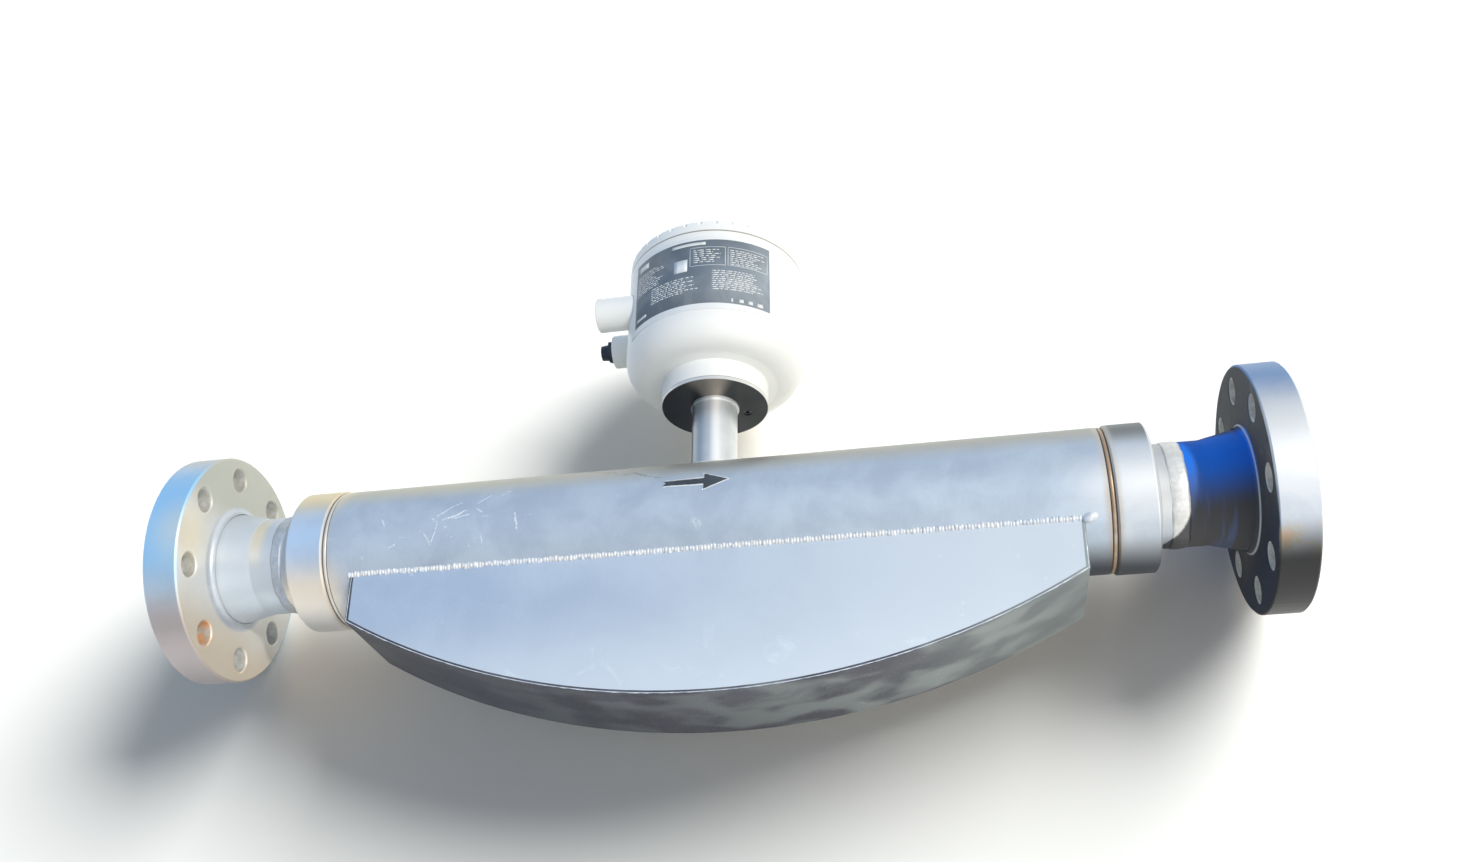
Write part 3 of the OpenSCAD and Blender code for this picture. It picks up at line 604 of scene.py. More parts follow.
    def outlet_marks(self, g: Graph, colour: Socket, depth: Socket, radius: Socket) -> Socket:
        """Painted shade on the outlet's inner face; painted blue shade and sky reflection on its hub, with a
        painted highlight at the hub's corner; a painted sheen across the rim's middle, a painted blue
        reflection at its top and painted shade under it; and the straw and orange tint low on the rim.

        Args:
            g: the graph.
            colour: the steel so far.
            depth: the distance behind the raised face.
            radius: the distance from the pipe's axis.

        Returns:
            The stained colour.
        """
        back = self.behind(g)
        # painted shade: the inner face is coloured near black, darkest low down
        inner = g.both(back, g.step(self.hole_distance(g), HOLE_R, HOLE_R + 0.6 * MM))
        z = g.xyz[2]
        dark = g.mix(g.noise(18.0, 4.0), (0.024, 0.024, 0.024), (0.06, 0.058, 0.056))
        smear = g.step(g.noise(34.0, 4.0, 0.7), 0.5, 0.66)
        dark = g.tint(dark, (0.13, 0.12, 0.1), smear, g.band(z, -0.03, 0.07, 0.03), 0.5)
        dark = g.mix(g.step(z, -0.04, -0.075), dark, (0.008, 0.014, 0.035))
        colour = g.tint(colour, dark, inner, 0.97)
        # painted blue shade and sky reflection on the hub, darker low down and at the top, with streaks
        painted_hub_shade = g.mix(g.step(z, 0.016, -0.012), (0.004, 0.22, 0.95), (0.02, 0.18, 0.75))
        painted_hub_shade = g.mix(g.step(z, 0.0, -0.034), painted_hub_shade, (0.075, 0.072, 0.075))
        painted_hub_shade = g.mix(g.step(z, 0.03, 0.042), painted_hub_shade, (0.012, 0.02, 0.06))
        streak = g.step(g.noise(1.0, 4.0, 0.6, g.vector((90.0, 10.0, 10.0))), 0.47, 0.66)
        painted_hub_shade = g.tint(painted_hub_shade, (0.1, 0.17, 0.36), streak, 0.45)
        hub = g.both(back, g.step(radius, HUB_R + 3.0 * MM, HUB_R))
        colour = g.tint(colour, painted_hub_shade, hub, 0.95)
        # a painted highlight along the corner of hub and flange
        corner = g.both(g.band(radius, 0.0535, 0.0548, 0.0005), g.band(depth, 0.0378, 0.0445, 0.0008))
        colour = g.tint(colour, (0.7, 0.69, 0.66), corner, 0.8)
        rim = g.step(radius, RIM_R - 1.0 * MM, RIM_R)
        spot = g.noise(46.0, 4.0, 0.7)
        low_rim = g.both(rim, g.band(z, -0.094, -0.074, 0.008), g.step(spot, 0.42, 0.62))
        straw = g.mix(g.step(spot, 0.5, 0.7), (0.6, 0.52, 0.3), (0.74, 0.45, 0.2))
        colour = g.tint(colour, straw, low_rim, 0.7)
        # a painted sheen across the rim's middle, a painted blue reflection at its top and painted shade
        # under it
        colour = g.tint(colour, (0.79, 0.8, 0.79), rim, g.band(z, -0.05, 0.02, 0.02), 0.8)
        colour = g.tint(colour, (0.14, 0.27, 0.5), rim, g.step(z, 0.015, 0.06), 0.9)
        under = g.both(rim, g.step(z, -0.066, -0.092))
        return g.tint(colour, (0.012, 0.011, 0.01), under, 0.97)

    def build(self) -> bpy.types.Material:
        """Makes the material, with the raised face's fine turned spiral.

        Returns:
            The material.
        """
        g = Graph(self.name)
        colour, rough, normal = self.base(g)
        radius = g.across(0.0, 0.0)
        groove = g.math("SINE", g.math("MULTIPLY", radius, 2 * math.pi / 0.0008))
        mask = g.step(self.depth_in(g), 0.0006, 0.0002)
        normal = g.bump(g.both(groove, mask), 0.0001, 0.6, normal)
        metallic: Value = self.metallic
        if self.side is Side.OUTLET:
            rough = g.blend(self.behind(g), rough, 0.8)
            metallic = g.blend(self.behind(g), self.metallic, 0.0)
        return g.finish(self.stain(g, colour), rough, metallic, normal)


@dataclass(frozen=True)
class HousingSteel(BrushedSteel):
    """The long tube and its end rings: painted warm reflection along the top, painted light and shade, tinted
    beside the end welds, scuffed.
    """

    def stain(self, g: Graph, colour: Socket) -> Socket:
        """All the marks, painted light and painted shade of the tube and rings.

        Args:
            g: the graph.
            colour: the steel so far.

        Returns:
            The stained colour.
        """
        for marks in (self.length_marks, self.weld_tint, self.ring_marks, self.wear, self.shade):
            colour = marks(g, colour)
        return colour

    def length_marks(self, g: Graph, colour: Socket) -> Socket:
        """Painted warm reflection along the top, painted shade on the top near the outlet, a painted
        highlight line towards the outlet, a painted warm reflection on the top at the inlet and painted shade
        on the underside.

        Args:
            g: the graph.
            colour: the steel so far.

        Returns:
            The stained colour.
        """
        x, _, z = g.xyz
        # painted warm reflection along the top, warmer towards the inlet
        top = g.step(z, 0.018, 0.044)
        warm = g.mix(g.noise(9.0, 3.0), (0.36, 0.35, 0.3), (0.46, 0.43, 0.36))
        warm = g.mix(g.step(x, 0.42, 0.25), warm, (0.52, 0.49, 0.38))
        colour = g.tint(colour, warm, top, 0.88)
        # painted shade on the top near the outlet
        ring = g.step(x, 0.82, 0.84)
        colour = g.tint(colour, (0.12, 0.14, 0.15), g.step(z, 0.012, 0.04), ring, 0.85)
        # a painted highlight line towards the outlet
        shine = g.both(g.step(x, 0.77, 0.85), g.band(z, -0.034, 0.006, 0.016))
        colour = g.tint(colour, (0.84, 0.85, 0.85), shine, 0.8)
        # a painted warm reflection on the top at the inlet
        colour = g.tint(colour, (0.84, 0.7, 0.44), g.step(z, 0.008, 0.036), g.step(x, 0.17, 0.15), 0.85)
        # painted shade on the underside
        low = g.step(z, -0.052, -0.062)
        return g.tint(colour, (0.3, 0.3, 0.31), low, 0.4)

    def weld_tint(self, g: Graph, colour: Socket) -> Socket:
        """The brown lines beside the end welds, stronger at the outlet.

        Args:
            g: the graph.
            colour: the steel so far.

        Returns:
            The stained colour.
        """
        x, _, z = g.xyz
        from_end = g.math("ABSOLUTE", g.math("SUBTRACT", x, CENTRE_X))
        wander = g.math("MULTIPLY_ADD", g.noise(30.0, 3.0), 0.006, -0.003)
        edge = g.band(g.math("ADD", from_end, wander), 0.3325, 0.344, 0.003)
        side = g.step(x, 0.55, 0.8)
        tint = g.mix(g.step(z, -0.03, 0.01), (0.52, 0.42, 0.3), (0.66, 0.6, 0.5))
        return g.tint(colour, tint, edge, g.blend(side, 0.25, 0.6))

    def ring_marks(self, g: Graph, colour: Socket) -> Socket:
        """Painted shade under the outlet side, a painted warm highlight low on the inlet ring, a painted blue
        reflection on the inlet ring, the outlet ring's pale end and a painted highlight on its lip.

        Args:
            g: the graph.
            colour: the steel so far.

        Returns:
            The stained colour.
        """
        x, y, z = g.xyz
        side = g.step(x, 0.55, 0.8)
        # painted shade on the side facing down and to the rear, towards the outlet
        under = g.math("ADD", g.math("MULTIPLY", y, 0.53), g.math("MULTIPLY", z, -0.85))
        dim = g.both(side, g.step(under, 0.022, 0.056))
        colour = g.tint(colour, (0.055, 0.06, 0.07), dim, 0.92)
        # a painted warm highlight low on the inlet ring
        glow = g.both(g.step(x, 0.18, 0.15), g.band(z, -0.06, -0.036, 0.018))
        colour = g.tint(colour, (1.0, 0.88, 0.72), glow, 0.95)
        pale = g.both(g.step(x, 0.865, 0.869), g.step(z, -0.045, -0.02))
        colour = g.tint(colour, (0.6, 0.61, 0.61), pale, 0.8)
        # a painted blue reflection on the inlet ring
        blue_reflection = g.both(g.step(x, 0.15, 0.148), g.step(x, 0.115, 0.12), g.band(z, -0.026, 0.014, 0.024))
        colour = g.tint(colour, (0.52, 0.72, 0.98), blue_reflection, 0.7)
        # a painted highlight along the outlet ring's end edge
        outer = g.step(g.across(0.0, 0.0), 0.06, 0.0615)
        lip = g.both(g.band(x, 0.8632, 0.8662, 0.0005), outer, g.step(z, -0.058, -0.04))
        return g.tint(colour, (0.95, 0.95, 0.93), lip, 0.9)

    def wear(self, g: Graph, colour: Socket) -> Socket:
        """Scuffs, scratches and pencil strokes on the tube.

        Args:
            g: the graph.
            colour: the steel so far.

        Returns:
            The stained colour.
        """
        scuff = g.step(g.noise(34.0, 5.0, 0.7, g.vector((1.0, 1.0, 1.7)), 2.6), 0.63, 0.7)
        where = g.near((0.262, -0.061, 0.002), 0.075)
        colour = g.tint(colour, (0.92, 0.95, 0.97), scuff, where, 0.95)
        for start, end, width in SCRATCHES:
            colour = g.tint(colour, (0.95, 0.97, 1.0), g.stroke(start, end, width), 0.85)
        for start, end, width in PENCIL:
            colour = g.tint(colour, (0.1, 0.11, 0.13), g.stroke(start, end, width), 0.6)
        return colour

    def shade(self, g: Graph, colour: Socket) -> Socket:
        """Painted shade on the stub beside the inlet ring, the outlet flange's painted shadow and a rubbed
        spot beside the seam.

        Args:
            g: the graph.
            colour: the steel so far.

        Returns:
            The stained colour.
        """
        x, _, z = g.xyz
        # painted shade on the stub beside the inlet ring's face
        ring_shade = g.both(g.step(x, 0.1168, 0.1164), g.step(x, 0.1095, 0.1125), g.step(z, -0.04, -0.03))
        colour = g.tint(colour, (0.05, 0.1, 0.24), ring_shade, 0.85)
        # the outlet flange's painted shadow
        colour = g.tint(colour, SHADE, g.flange_shade(), 0.93)
        mark = g.both(g.near((0.4874, -0.0588, -0.0216), 0.0075), g.step(g.noise(300.0, 2.0), 0.35, 0.6))
        return g.tint(colour, (0.88, 0.9, 0.92), mark, 0.6)


@dataclass(frozen=True)
class StemSteel(BrushedSteel):
    """The stem's drawn tube: a painted highlight along the front, painted shade on the inlet side."""

    def stain(self, g: Graph, colour: Socket) -> Socket:
        """The painted highlight and the painted shade.

        Args:
            g: the graph.
            colour: the plain steel.

        Returns:
            The stained colour.
        """
        across = g.math("SUBTRACT", g.xyz[0], CENTRE_X)
        # painted shade on the inlet side, darkest at its edge
        dull = g.step(across, -0.003, -0.011)
        colour = g.tint(colour, (0.36, 0.41, 0.44), dull, 0.75)
        colour = g.tint(colour, (0.1, 0.11, 0.12), g.step(across, -0.0165, -0.0195), 0.85)
        # a painted highlight along the front
        stripe = g.band(across, 0.0005, 0.0075, 0.003)
        return g.tint(colour, (1.0, 1.0, 0.98), stripe, 0.9)


@dataclass(frozen=True)
class BellySheet(BrushedSteel):
    """The belly's flat plates: fine matte grain, water marks and paler handling smears."""

    def stain(self, g: Graph, colour: Socket) -> Socket:
        """Painted light towards the outlet and the bottom, pale smears low on the plate and small water
        marks.

        Args:
            g: the graph.
            colour: the plain steel.

        Returns:
            The stained colour.
        """
        x, _, z = g.xyz
        # painted light, growing towards the outlet and towards the bottom
        colour = g.tint(colour, (0.7, 0.75, 0.78), g.step(x, 0.2, 0.82), 0.8)
        colour = g.tint(colour, (0.78, 0.84, 0.88), g.step(z, -0.07, -0.165), 0.65)
        smear = g.step(g.noise(26.0, 6.0, 0.72, twist=1.2), 0.56, 0.7)
        colour = g.tint(colour, (0.82, 0.88, 0.93), smear, g.step(z, -0.09, -0.15), 0.6)
        speck = g.step(g.cells(55.0), 0.13, 0.05)
        return g.tint(colour, (0.85, 0.89, 0.92), speck, g.step(g.noise(20.0), 0.5, 0.6), 0.35)


@dataclass(frozen=True)
class BandSteel(BrushedSteel):
    """The belly's bottom band: dark, cloudy, with pale blurred patches towards the outlet."""

    def stain(self, g: Graph, colour: Socket) -> Socket:
        """Blurred pale patches and dark clouds along the band, with painted light towards the outlet, painted
        shade towards the inlet and painted glints.

        Args:
            g: the graph.
            colour: the plain steel.

        Returns:
            The stained colour.
        """
        x = g.xyz[0]
        patch = g.step(g.noise(19.0, 2.0, 0.4, g.vector((1.0, 1.6, 1.0)), 0.3), 0.4, 0.62)
        shade = g.blend(g.step(x, 0.35, 0.78), 0.25, 0.9)
        colour = g.tint(colour, (0.34, 0.38, 0.37), patch, shade)
        # painted light towards the outlet and painted shade towards the inlet
        colour = g.tint(colour, (0.4, 0.45, 0.44), g.step(x, 0.6, 0.8), 0.55)
        colour = g.tint(colour, (0.035, 0.042, 0.06), g.step(x, 0.42, 0.2), 0.6)
        # painted glints
        glint = g.step(g.noise(70.0, 5.0, 0.75, g.vector((0.6, 1.0, 1.0)), 1.0), 0.6, 0.74)
        where = g.both(g.band(x, 0.55, 0.7, 0.04), g.step(g.noise(16.0, 2.0), 0.46, 0.58))
        return g.tint(colour, (0.62, 0.6, 0.56), glint, where, 0.9)


@dataclass(frozen=True)
class WeldMetal(Finish):
    """A rippled weld bead with heat tint and flecks, and the outlet flange's painted shadow."""

    light: Colour
    dark: Colour
    tint: Colour
    amount: float = 0.4
    metallic: float = 0.4

    def build(self) -> bpy.types.Material:
        """Makes the material.

        Returns:
            The material.
        """
        g = Graph(self.name)
        cloud = g.noise(180.0, 4.0, 0.65)
        colour = g.mix(g.step(cloud, 0.35, 0.68), self.dark, self.light)
        burn = g.step(g.noise(34.0, 3.0, 0.6), 0.45, 0.66)
        colour = g.tint(colour, self.tint, burn, self.amount)
        # the outlet flange's painted shadow
        colour = g.tint(colour, SHADE, g.flange_shade(), 0.93)
        height = g.math("ADD", g.noise(700.0, 3.0, 0.6), cloud)
        return g.finish(colour, g.blend(cloud, 0.3, 0.5), self.metallic, g.bump(height, 0.0002, 0.55))


@dataclass(frozen=True)
class GrooveWeld(Finish):
    """The sunk weld between end ring and housing tube: dark edges, a pale crown, brown tint."""

    def build(self) -> bpy.types.Material:
        """Makes the material.

        Returns:
            The material.
        """
        g = Graph(self.name)
        x = g.xyz[0]
        from_centre = g.math("ABSOLUTE", g.math("SUBTRACT", x, CENTRE_X))
        away = g.math("ABSOLUTE", g.math("SUBTRACT", from_centre, GROOVE_FROM_CENTRE))
        crown = g.step(away, 0.0017, 0.0009)
        brown = g.mix(g.noise(50.0, 4.0), (0.32, 0.19, 0.11), (0.6, 0.45, 0.3))
        pale = g.mix(g.noise(70.0, 3.0), (0.62, 0.58, 0.5), (0.84, 0.83, 0.79))
        side = g.step(x, 0.4, 0.6)
        crown_tone = g.tint(pale, brown, side, g.step(g.noise(26.0, 3.0), 0.3, 0.5))
        colour = g.mix(crown, (0.12, 0.11, 0.1), crown_tone)
        height = g.noise(1.0, 3.0, 0.6, g.vector((200.0, 400.0, 400.0)))
        return g.finish(colour, 0.42, 0.4, g.bump(height, 0.0002, 0.6))


@dataclass(frozen=True)
class PowderCoat(Finish):
    """White powder coat on a casting: orange peel, a little dirt, bare thread in the entries."""

    white: Colour = (0.86, 0.865, 0.83)
    entries: bool = False

    def build(self) -> bpy.types.Material:
        """Makes the material.

        Returns:
            The material.
        """
        g = Graph(self.name)
        dirt = g.step(g.noise(38.0, 6.0, 0.7, twist=0.8), 0.6, 0.78)
        colour = g.mix(g.noise(12.0, 2.0), self.white, tuple(min(1.0, c + 0.035) for c in self.white))
        colour = g.tint(colour, (0.55, 0.53, 0.46), dirt, 0.25)
        z = g.xyz[2]
        lid_joint = g.both(g.step(z, 0.2748, 0.2752), g.step(z, 0.2768, 0.2764))
        joints = g.math("ADD", g.step(z, 0.1342, 0.1339), lid_joint)
        colour = g.tint(colour, (0.26, 0.22, 0.16), joints, 0.75)
        peel = g.noise(1100.0, 2.0, 0.5)
        normal = g.bump(peel, 0.00005, 0.5)
        rough = g.blend(g.noise(60.0, 3.0), 0.3, 0.42)
        metallic: Value = 0.0
        if self.entries:
            front, rear = (g.step(g.across(y, ENTRY_Z), 9.9 * MM, 9.6 * MM) for y in (-ENTRY_Y, ENTRY_Y))
            bore = g.math("MAXIMUM", front, rear)
            bore = g.both(bore, g.step(g.xyz[0], 0.44, 0.43))
            thread = g.math("SINE", g.math("MULTIPLY", g.xyz[0], 2 * math.pi / 0.0015))
            normal = g.bump(g.both(thread, bore), 0.0008, 0.8, normal)
            colour = g.mix(bore, colour, (0.55, 0.56, 0.56))
            metallic = g.both(bore, 0.8)
        return g.finish(colour, rough, metallic, normal, Coat_Weight=0.15, Coat_Roughness=0.25)


@dataclass(frozen=True)
class TurnedDark(Finish):
    """Turned steel of the disc under the head, coloured very dark: fine rings, a painted highlight on the
    rim, a painted bright wedge at the front, painted deeper shade on the inlet side, smears.
    """

    rim_r: float = 0.0504

    def build(self) -> bpy.types.Material:
        """Makes the material.

        Returns:
            The material.
        """
        g = Graph(self.name)
        x, y, z = g.xyz
        dx = g.math("SUBTRACT", x, CENTRE_X)
        radius = g.math("SQRT", g.math("ADD", g.both(dx, dx), g.both(y, y)))
        rings = g.noise(1.0, 3.0, 0.6, g.combine(g.math("MULTIPLY", radius, 900.0), 0.0, 0.0))
        base = g.mix(g.noise(30.0, 4.0), (0.022, 0.025, 0.03), (0.06, 0.063, 0.068))
        smear = g.step(g.noise(70.0, 6.0, 0.75, twist=1.5), 0.58, 0.72)
        base = g.tint(base, (0.24, 0.25, 0.26), smear, 0.3)
        swing = g.math("DIVIDE", dx, g.math("MAXIMUM", radius, 0.001))
        # a painted bright wedge of sheen at the front
        highlight_fan = g.both(g.band(swing, -0.3, 0.42, 0.16), g.step(y, 0.0, -0.008))
        base = g.tint(base, (0.34, 0.3, 0.25), highlight_fan, 0.75)
        # painted deeper shade on the inlet side
        base = g.tint(base, (0.018, 0.022, 0.035), g.step(swing, -0.3, -0.75), 0.7)
        # a painted highlight on the rim's lit edge
        rim = g.step(radius, self.rim_r - 0.0009, self.rim_r - 0.0003)
        rim = g.both(rim, g.step(z, 0.1335, 0.1331))
        colour = g.mix(rim, base, (0.83, 0.83, 0.8))
        normal = g.bump(rings, 0.00005, 0.4)
        tangent = g.new("ShaderNodeTangent", direction_type="RADIAL", axis="Z").outputs[0]
        rough = g.blend(rings, 0.28, 0.42)
        return g.finish(colour, rough, 0.8, normal, Anisotropic=0.8, Tangent=tangent)


@dataclass(frozen=True)
class Moulded(Finish):
    """Plastic, rubber, boards and small hardware: one tone with clouding, grain and wear."""

    tone: Colour
    roughness: float = 0.5
    metallic: float = 0.0
    grain: float = 600.0
    depth: float = 0.00004

    def build(self) -> bpy.types.Material:
        """Makes the material.

        Returns:
            The material.
        """
        g = Graph(self.name)
        other = tuple(min(1.0, c * 1.25 + 0.02) for c in self.tone)
        cloud = g.noise(45.0, 4.0, 0.6)
        colour = g.mix(g.step(cloud, 0.35, 0.7), self.tone, other)
        grain = g.noise(self.grain, 3.0, 0.6)
        rough = g.blend(cloud, max(0.05, self.roughness - 0.08), min(1.0, self.roughness + 0.08))
        return g.finish(colour, rough, self.metallic, g.bump(grain, self.depth, 0.5))


@dataclass(frozen=True)
class CircuitBoard(Finish):
    """Green solder resist over copper tracks, with pale pads."""

    def build(self) -> bpy.types.Material:
        """Makes the material.

        Returns:
            The material.
        """
        g = Graph(self.name)
        track = g.step(g.noise(1.0, 2.0, 0.5, g.vector((260.0, 60.0, 40.0))), 0.5, 0.54)
        colour = g.mix(g.both(track, 0.7), (0.02, 0.14, 0.075), (0.05, 0.27, 0.14))
        pad = g.step(g.cells(190.0), 0.22, 0.18)
        colour = g.tint(colour, (0.72, 0.7, 0.6), pad, g.step(g.noise(60.0), 0.5, 0.52))
        return g.finish(colour, g.blend(pad, 0.32, 0.25), g.both(pad, 0.6), g.bump(track, 0.00006, 0.5))


@dataclass(frozen=True)
class ClearGlass(Finish):
    """The lid's window: clear, faintly green, with a few smears."""

    def build(self) -> bpy.types.Material:
        """Makes the material.

        Returns:
            The material.
        """
        g = Graph(self.name)
        smear = g.step(g.noise(55.0, 5.0, 0.7, twist=0.8), 0.55, 0.75)
        rough = g.blend(smear, 0.03, 0.12)
        tone = g.mix(g.both(smear, 0.3), (0.9, 0.96, 0.95), (0.8, 0.86, 0.85))
        waves = g.bump(g.noise(80.0), 0.01 * MM, 0.3)
        return g.finish(tone, rough, 0.0, waves, Transmission_Weight=0.95, IOR=1.5)


@dataclass(frozen=True)
class PrintedPlate(Finish):
    """A print tone on the nameplate: semi-matte ink, sun-bleached in patches, with painted light towards the
    outlet side.
    """

    tone: Colour
    bleach: Colour
    roughness: float = 0.42
    metallic: float = 0.0

    def build(self) -> bpy.types.Material:
        """Makes the material.

        Returns:
            The material.
        """
        g = Graph(self.name)
        faded = g.step(g.noise(30.0, 5.0, 0.6, twist=0.5), 0.42, 0.7)
        # painted light: the print is paler towards the outlet side
        right = g.step(g.xyz[0], CENTRE_X - 0.02, CENTRE_X + 0.07)
        share = g.math("ADD", g.both(faded, 0.3), g.both(right, 0.55))
        colour = g.mix(share, self.tone, self.bleach)
        wear = g.step(g.noise(160.0, 5.0, 0.75), 0.62, 0.74)
        colour = g.tint(colour, self.bleach, wear, 0.3)
        return g.finish(colour, self.roughness, self.metallic, g.bump(g.noise(420.0, 2.0), 0.00003, 0.4))


# ---------------------------------------------------------------- meshes


def mesh_object(
    name: str,
    bm: bmesh.types.BMesh,
    material: bpy.types.Material,
    body: Body,
    replaced: Sequence[str] = (),
    smooth: bool = True,
) -> bpy.types.Object:
    """Turns a finished bmesh into a piece that rides on a body.

    Args:
        name: the piece's name.
        bm: its mesh, in row coordinates; it is freed.
        material: its finish.
        body: what it rides on.
        replaced: CAD nodes that it stands for.
        smooth: whether its faces are shaded smooth.

    Returns:
        The object.
    """
    mesh = bpy.data.meshes.new(name)
    for face in bm.faces:
        face.smooth = smooth
    bm.to_mesh(mesh)
    bm.free()
    mesh.materials.append(material)
    piece = bpy.data.objects.new(name, mesh)
    bpy.context.scene.collection.objects.link(piece)
    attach(piece, body.value)
    if replaced:
        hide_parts(*replaced)
    log.info("%s: %d faces on %s", name, len(mesh.polygons), body.value)
    return piece


def closed(bm: bmesh.types.BMesh) -> None:
    """Merges doubles and points every face of a closed shape outwards."""
    bmesh.ops.remove_doubles(bm, verts=bm.verts, dist=1e-7)
    bmesh.ops.recalc_face_normals(bm, faces=bm.faces)


def swept(
    bm: bmesh.types.BMesh, geom: Sequence[object], centre: Vector, axis: Vector, angle: float, steps: int
) -> None:
    """Sweeps a profile round an axis, and closes a full turn.

    Args:
        bm: the mesh.
        geom: the profile's corners and edges.
        centre: a point of the axis.
        axis: its direction.
        angle: how far it goes.
        steps: in how many steps.
    """
    full = angle == 2 * math.pi
    still = (0.0, 0.0, 0.0)
    bmesh.ops.spin(
        bm, geom=geom, cent=centre, axis=axis, dvec=still, angle=angle, steps=steps, use_merge=full
    )


@dataclass
class SeamBead:
    """The rippled fillet welds between the housing tube and the belly's plates."""

    start: float = CENTRE_X - SEAM_HALF
    end: float = CENTRE_X + SEAM_HALF
    pitch: float = 2.6 * MM
    scale: Tuple[float, float, float] = (2.1 * MM, 3.0 * MM, 2.3 * MM)
    seed: int = 11

    def ripple(self, bm: bmesh.types.BMesh, x: float, side: int, dice: random.Random) -> None:
        """Adds one overlapping ripple.

        Args:
            bm: the mesh.
            x: its place along the seam.
            side: -1 at the front, 1 at the rear.
            dice: the seeded source of irregularity.
        """
        out = Vector((0.0, 0.94 * side, -0.34)).normalized()
        up = Vector((1.0, 0.0, 0.0)).cross(out)
        made = bmesh.ops.create_icosphere(bm, subdivisions=2, radius=1.0)["verts"]
        stretch = Matrix.Diagonal(
            Vector(
                (
                    self.scale[0] * dice.uniform(0.85, 1.25),
                    self.scale[1] * dice.uniform(0.72, 1.12),
                    self.scale[2] * dice.uniform(0.7, 1.1),
                    1.0,
                )
            )
        )
        lean = Matrix.Rotation(math.radians(dice.uniform(-32, -14)), 4, "Y")
        axes = Matrix((Vector((1.0, 0.0, 0.0)), up, out)).transposed().to_4x4()
        at = Vector((x, side * (PLATE_Y + 0.2 * MM), SEAM_Z + 0.7 * MM))
        at += up * dice.uniform(-0.5, 0.5) * MM
        bmesh.ops.transform(bm, matrix=Matrix.Translation(at) @ axes @ lean @ stretch, verts=made)

    def make(self, material: bpy.types.Material) -> List[bpy.types.Object]:
        """Builds the front and rear beads.

        Args:
            material: the weld's finish.

        Returns:
            The two pieces.
        """
        pieces = []
        for side, name in ((-1, "seam_bead_front"), (1, "seam_bead_rear")):
            dice = random.Random(self.seed + side)
            bm = bmesh.new()
            count = int((self.end - self.start) / self.pitch)
            for i in range(count + 1):
                x = self.start + (self.end - self.start) * i / count
                self.ripple(bm, x + dice.uniform(-0.5, 0.5) * MM, side, dice)
            made = bmesh.ops.create_icosphere(bm, subdivisions=2, radius=1.0)["verts"]
            blob = Matrix.Translation((self.end + 3 * MM, side * (PLATE_Y + 0.6 * MM), SEAM_Z + 0.5 * MM))
            shape = Matrix.Diagonal(Vector((7.0 * MM, 3.6 * MM, 4.2 * MM, 1.0)))
            shape = Matrix.Rotation(-0.35, 4, "Y") @ shape
            bmesh.ops.transform(bm, matrix=blob @ shape, verts=made)
            bmesh.ops.recalc_face_normals(bm, faces=bm.faces)
            replaced = ("seam_welds",) if side < 0 else ()
            pieces.append(mesh_object(name, bm, material, Body.CASE, replaced))
        return pieces


@dataclass
class NeckBead:
    """A wide hand-laid butt weld round the pipe, with crescents and a wavering edge."""

    name: str
    at: float
    half_width: float = 6.2 * MM
    height: float = 1.5 * MM
    ripples: int = 74

    def make(self, material: bpy.types.Material, replaced: Sequence[str]) -> bpy.types.Object:
        """Builds the bead.

        Args:
            material: the weld's finish.
            replaced: CAD nodes that it stands for.

        Returns:
            The piece.
        """
        bm = bmesh.new()
        across = 9
        crown = [
            (
                self.at + self.half_width * (2 * i / (across - 1) - 1),
                PIPE_R + 0.1 * MM + self.height * math.sin(math.pi * i / (across - 1)) ** 0.6,
            )
            for i in range(across)
        ]
        foot = [(crown[-1][0], PIPE_R - 0.6 * MM), (crown[0][0], PIPE_R - 0.6 * MM)]
        corners = [bm.verts.new((x, 0.0, r)) for x, r in crown + foot]
        edges = [bm.edges.new((a, b)) for a, b in zip(corners, corners[1:] + corners[:1])]
        swept(bm, corners + edges, Vector(), Vector((1.0, 0.0, 0.0)), 2 * math.pi, 222)
        for vert in bm.verts:
            radius = math.hypot(vert.co.y, vert.co.z)
            if radius < PIPE_R:
                continue
            turn = math.atan2(vert.co.z, vert.co.y)
            u = (vert.co.x - self.at) / self.half_width
            wave = math.sin(self.ripples * turn + 2.6 * u * u)
            rough = noise.noise(Vector((vert.co.x * 260, vert.co.y * 150, vert.co.z * 150)))
            edge = noise.noise(Vector((math.cos(turn) * 4, math.sin(turn) * 4, 3.0 if u > 0 else 9.0)))
            lift = (0.14 * wave * (1 - u * u) + 0.16 * rough) * MM
            vert.co.y += math.cos(turn) * lift
            vert.co.z += math.sin(turn) * lift
            vert.co.x += 0.8 * MM * edge * abs(u)
        closed(bm)
        return mesh_object(self.name, bm, material, Body.CASE, replaced)


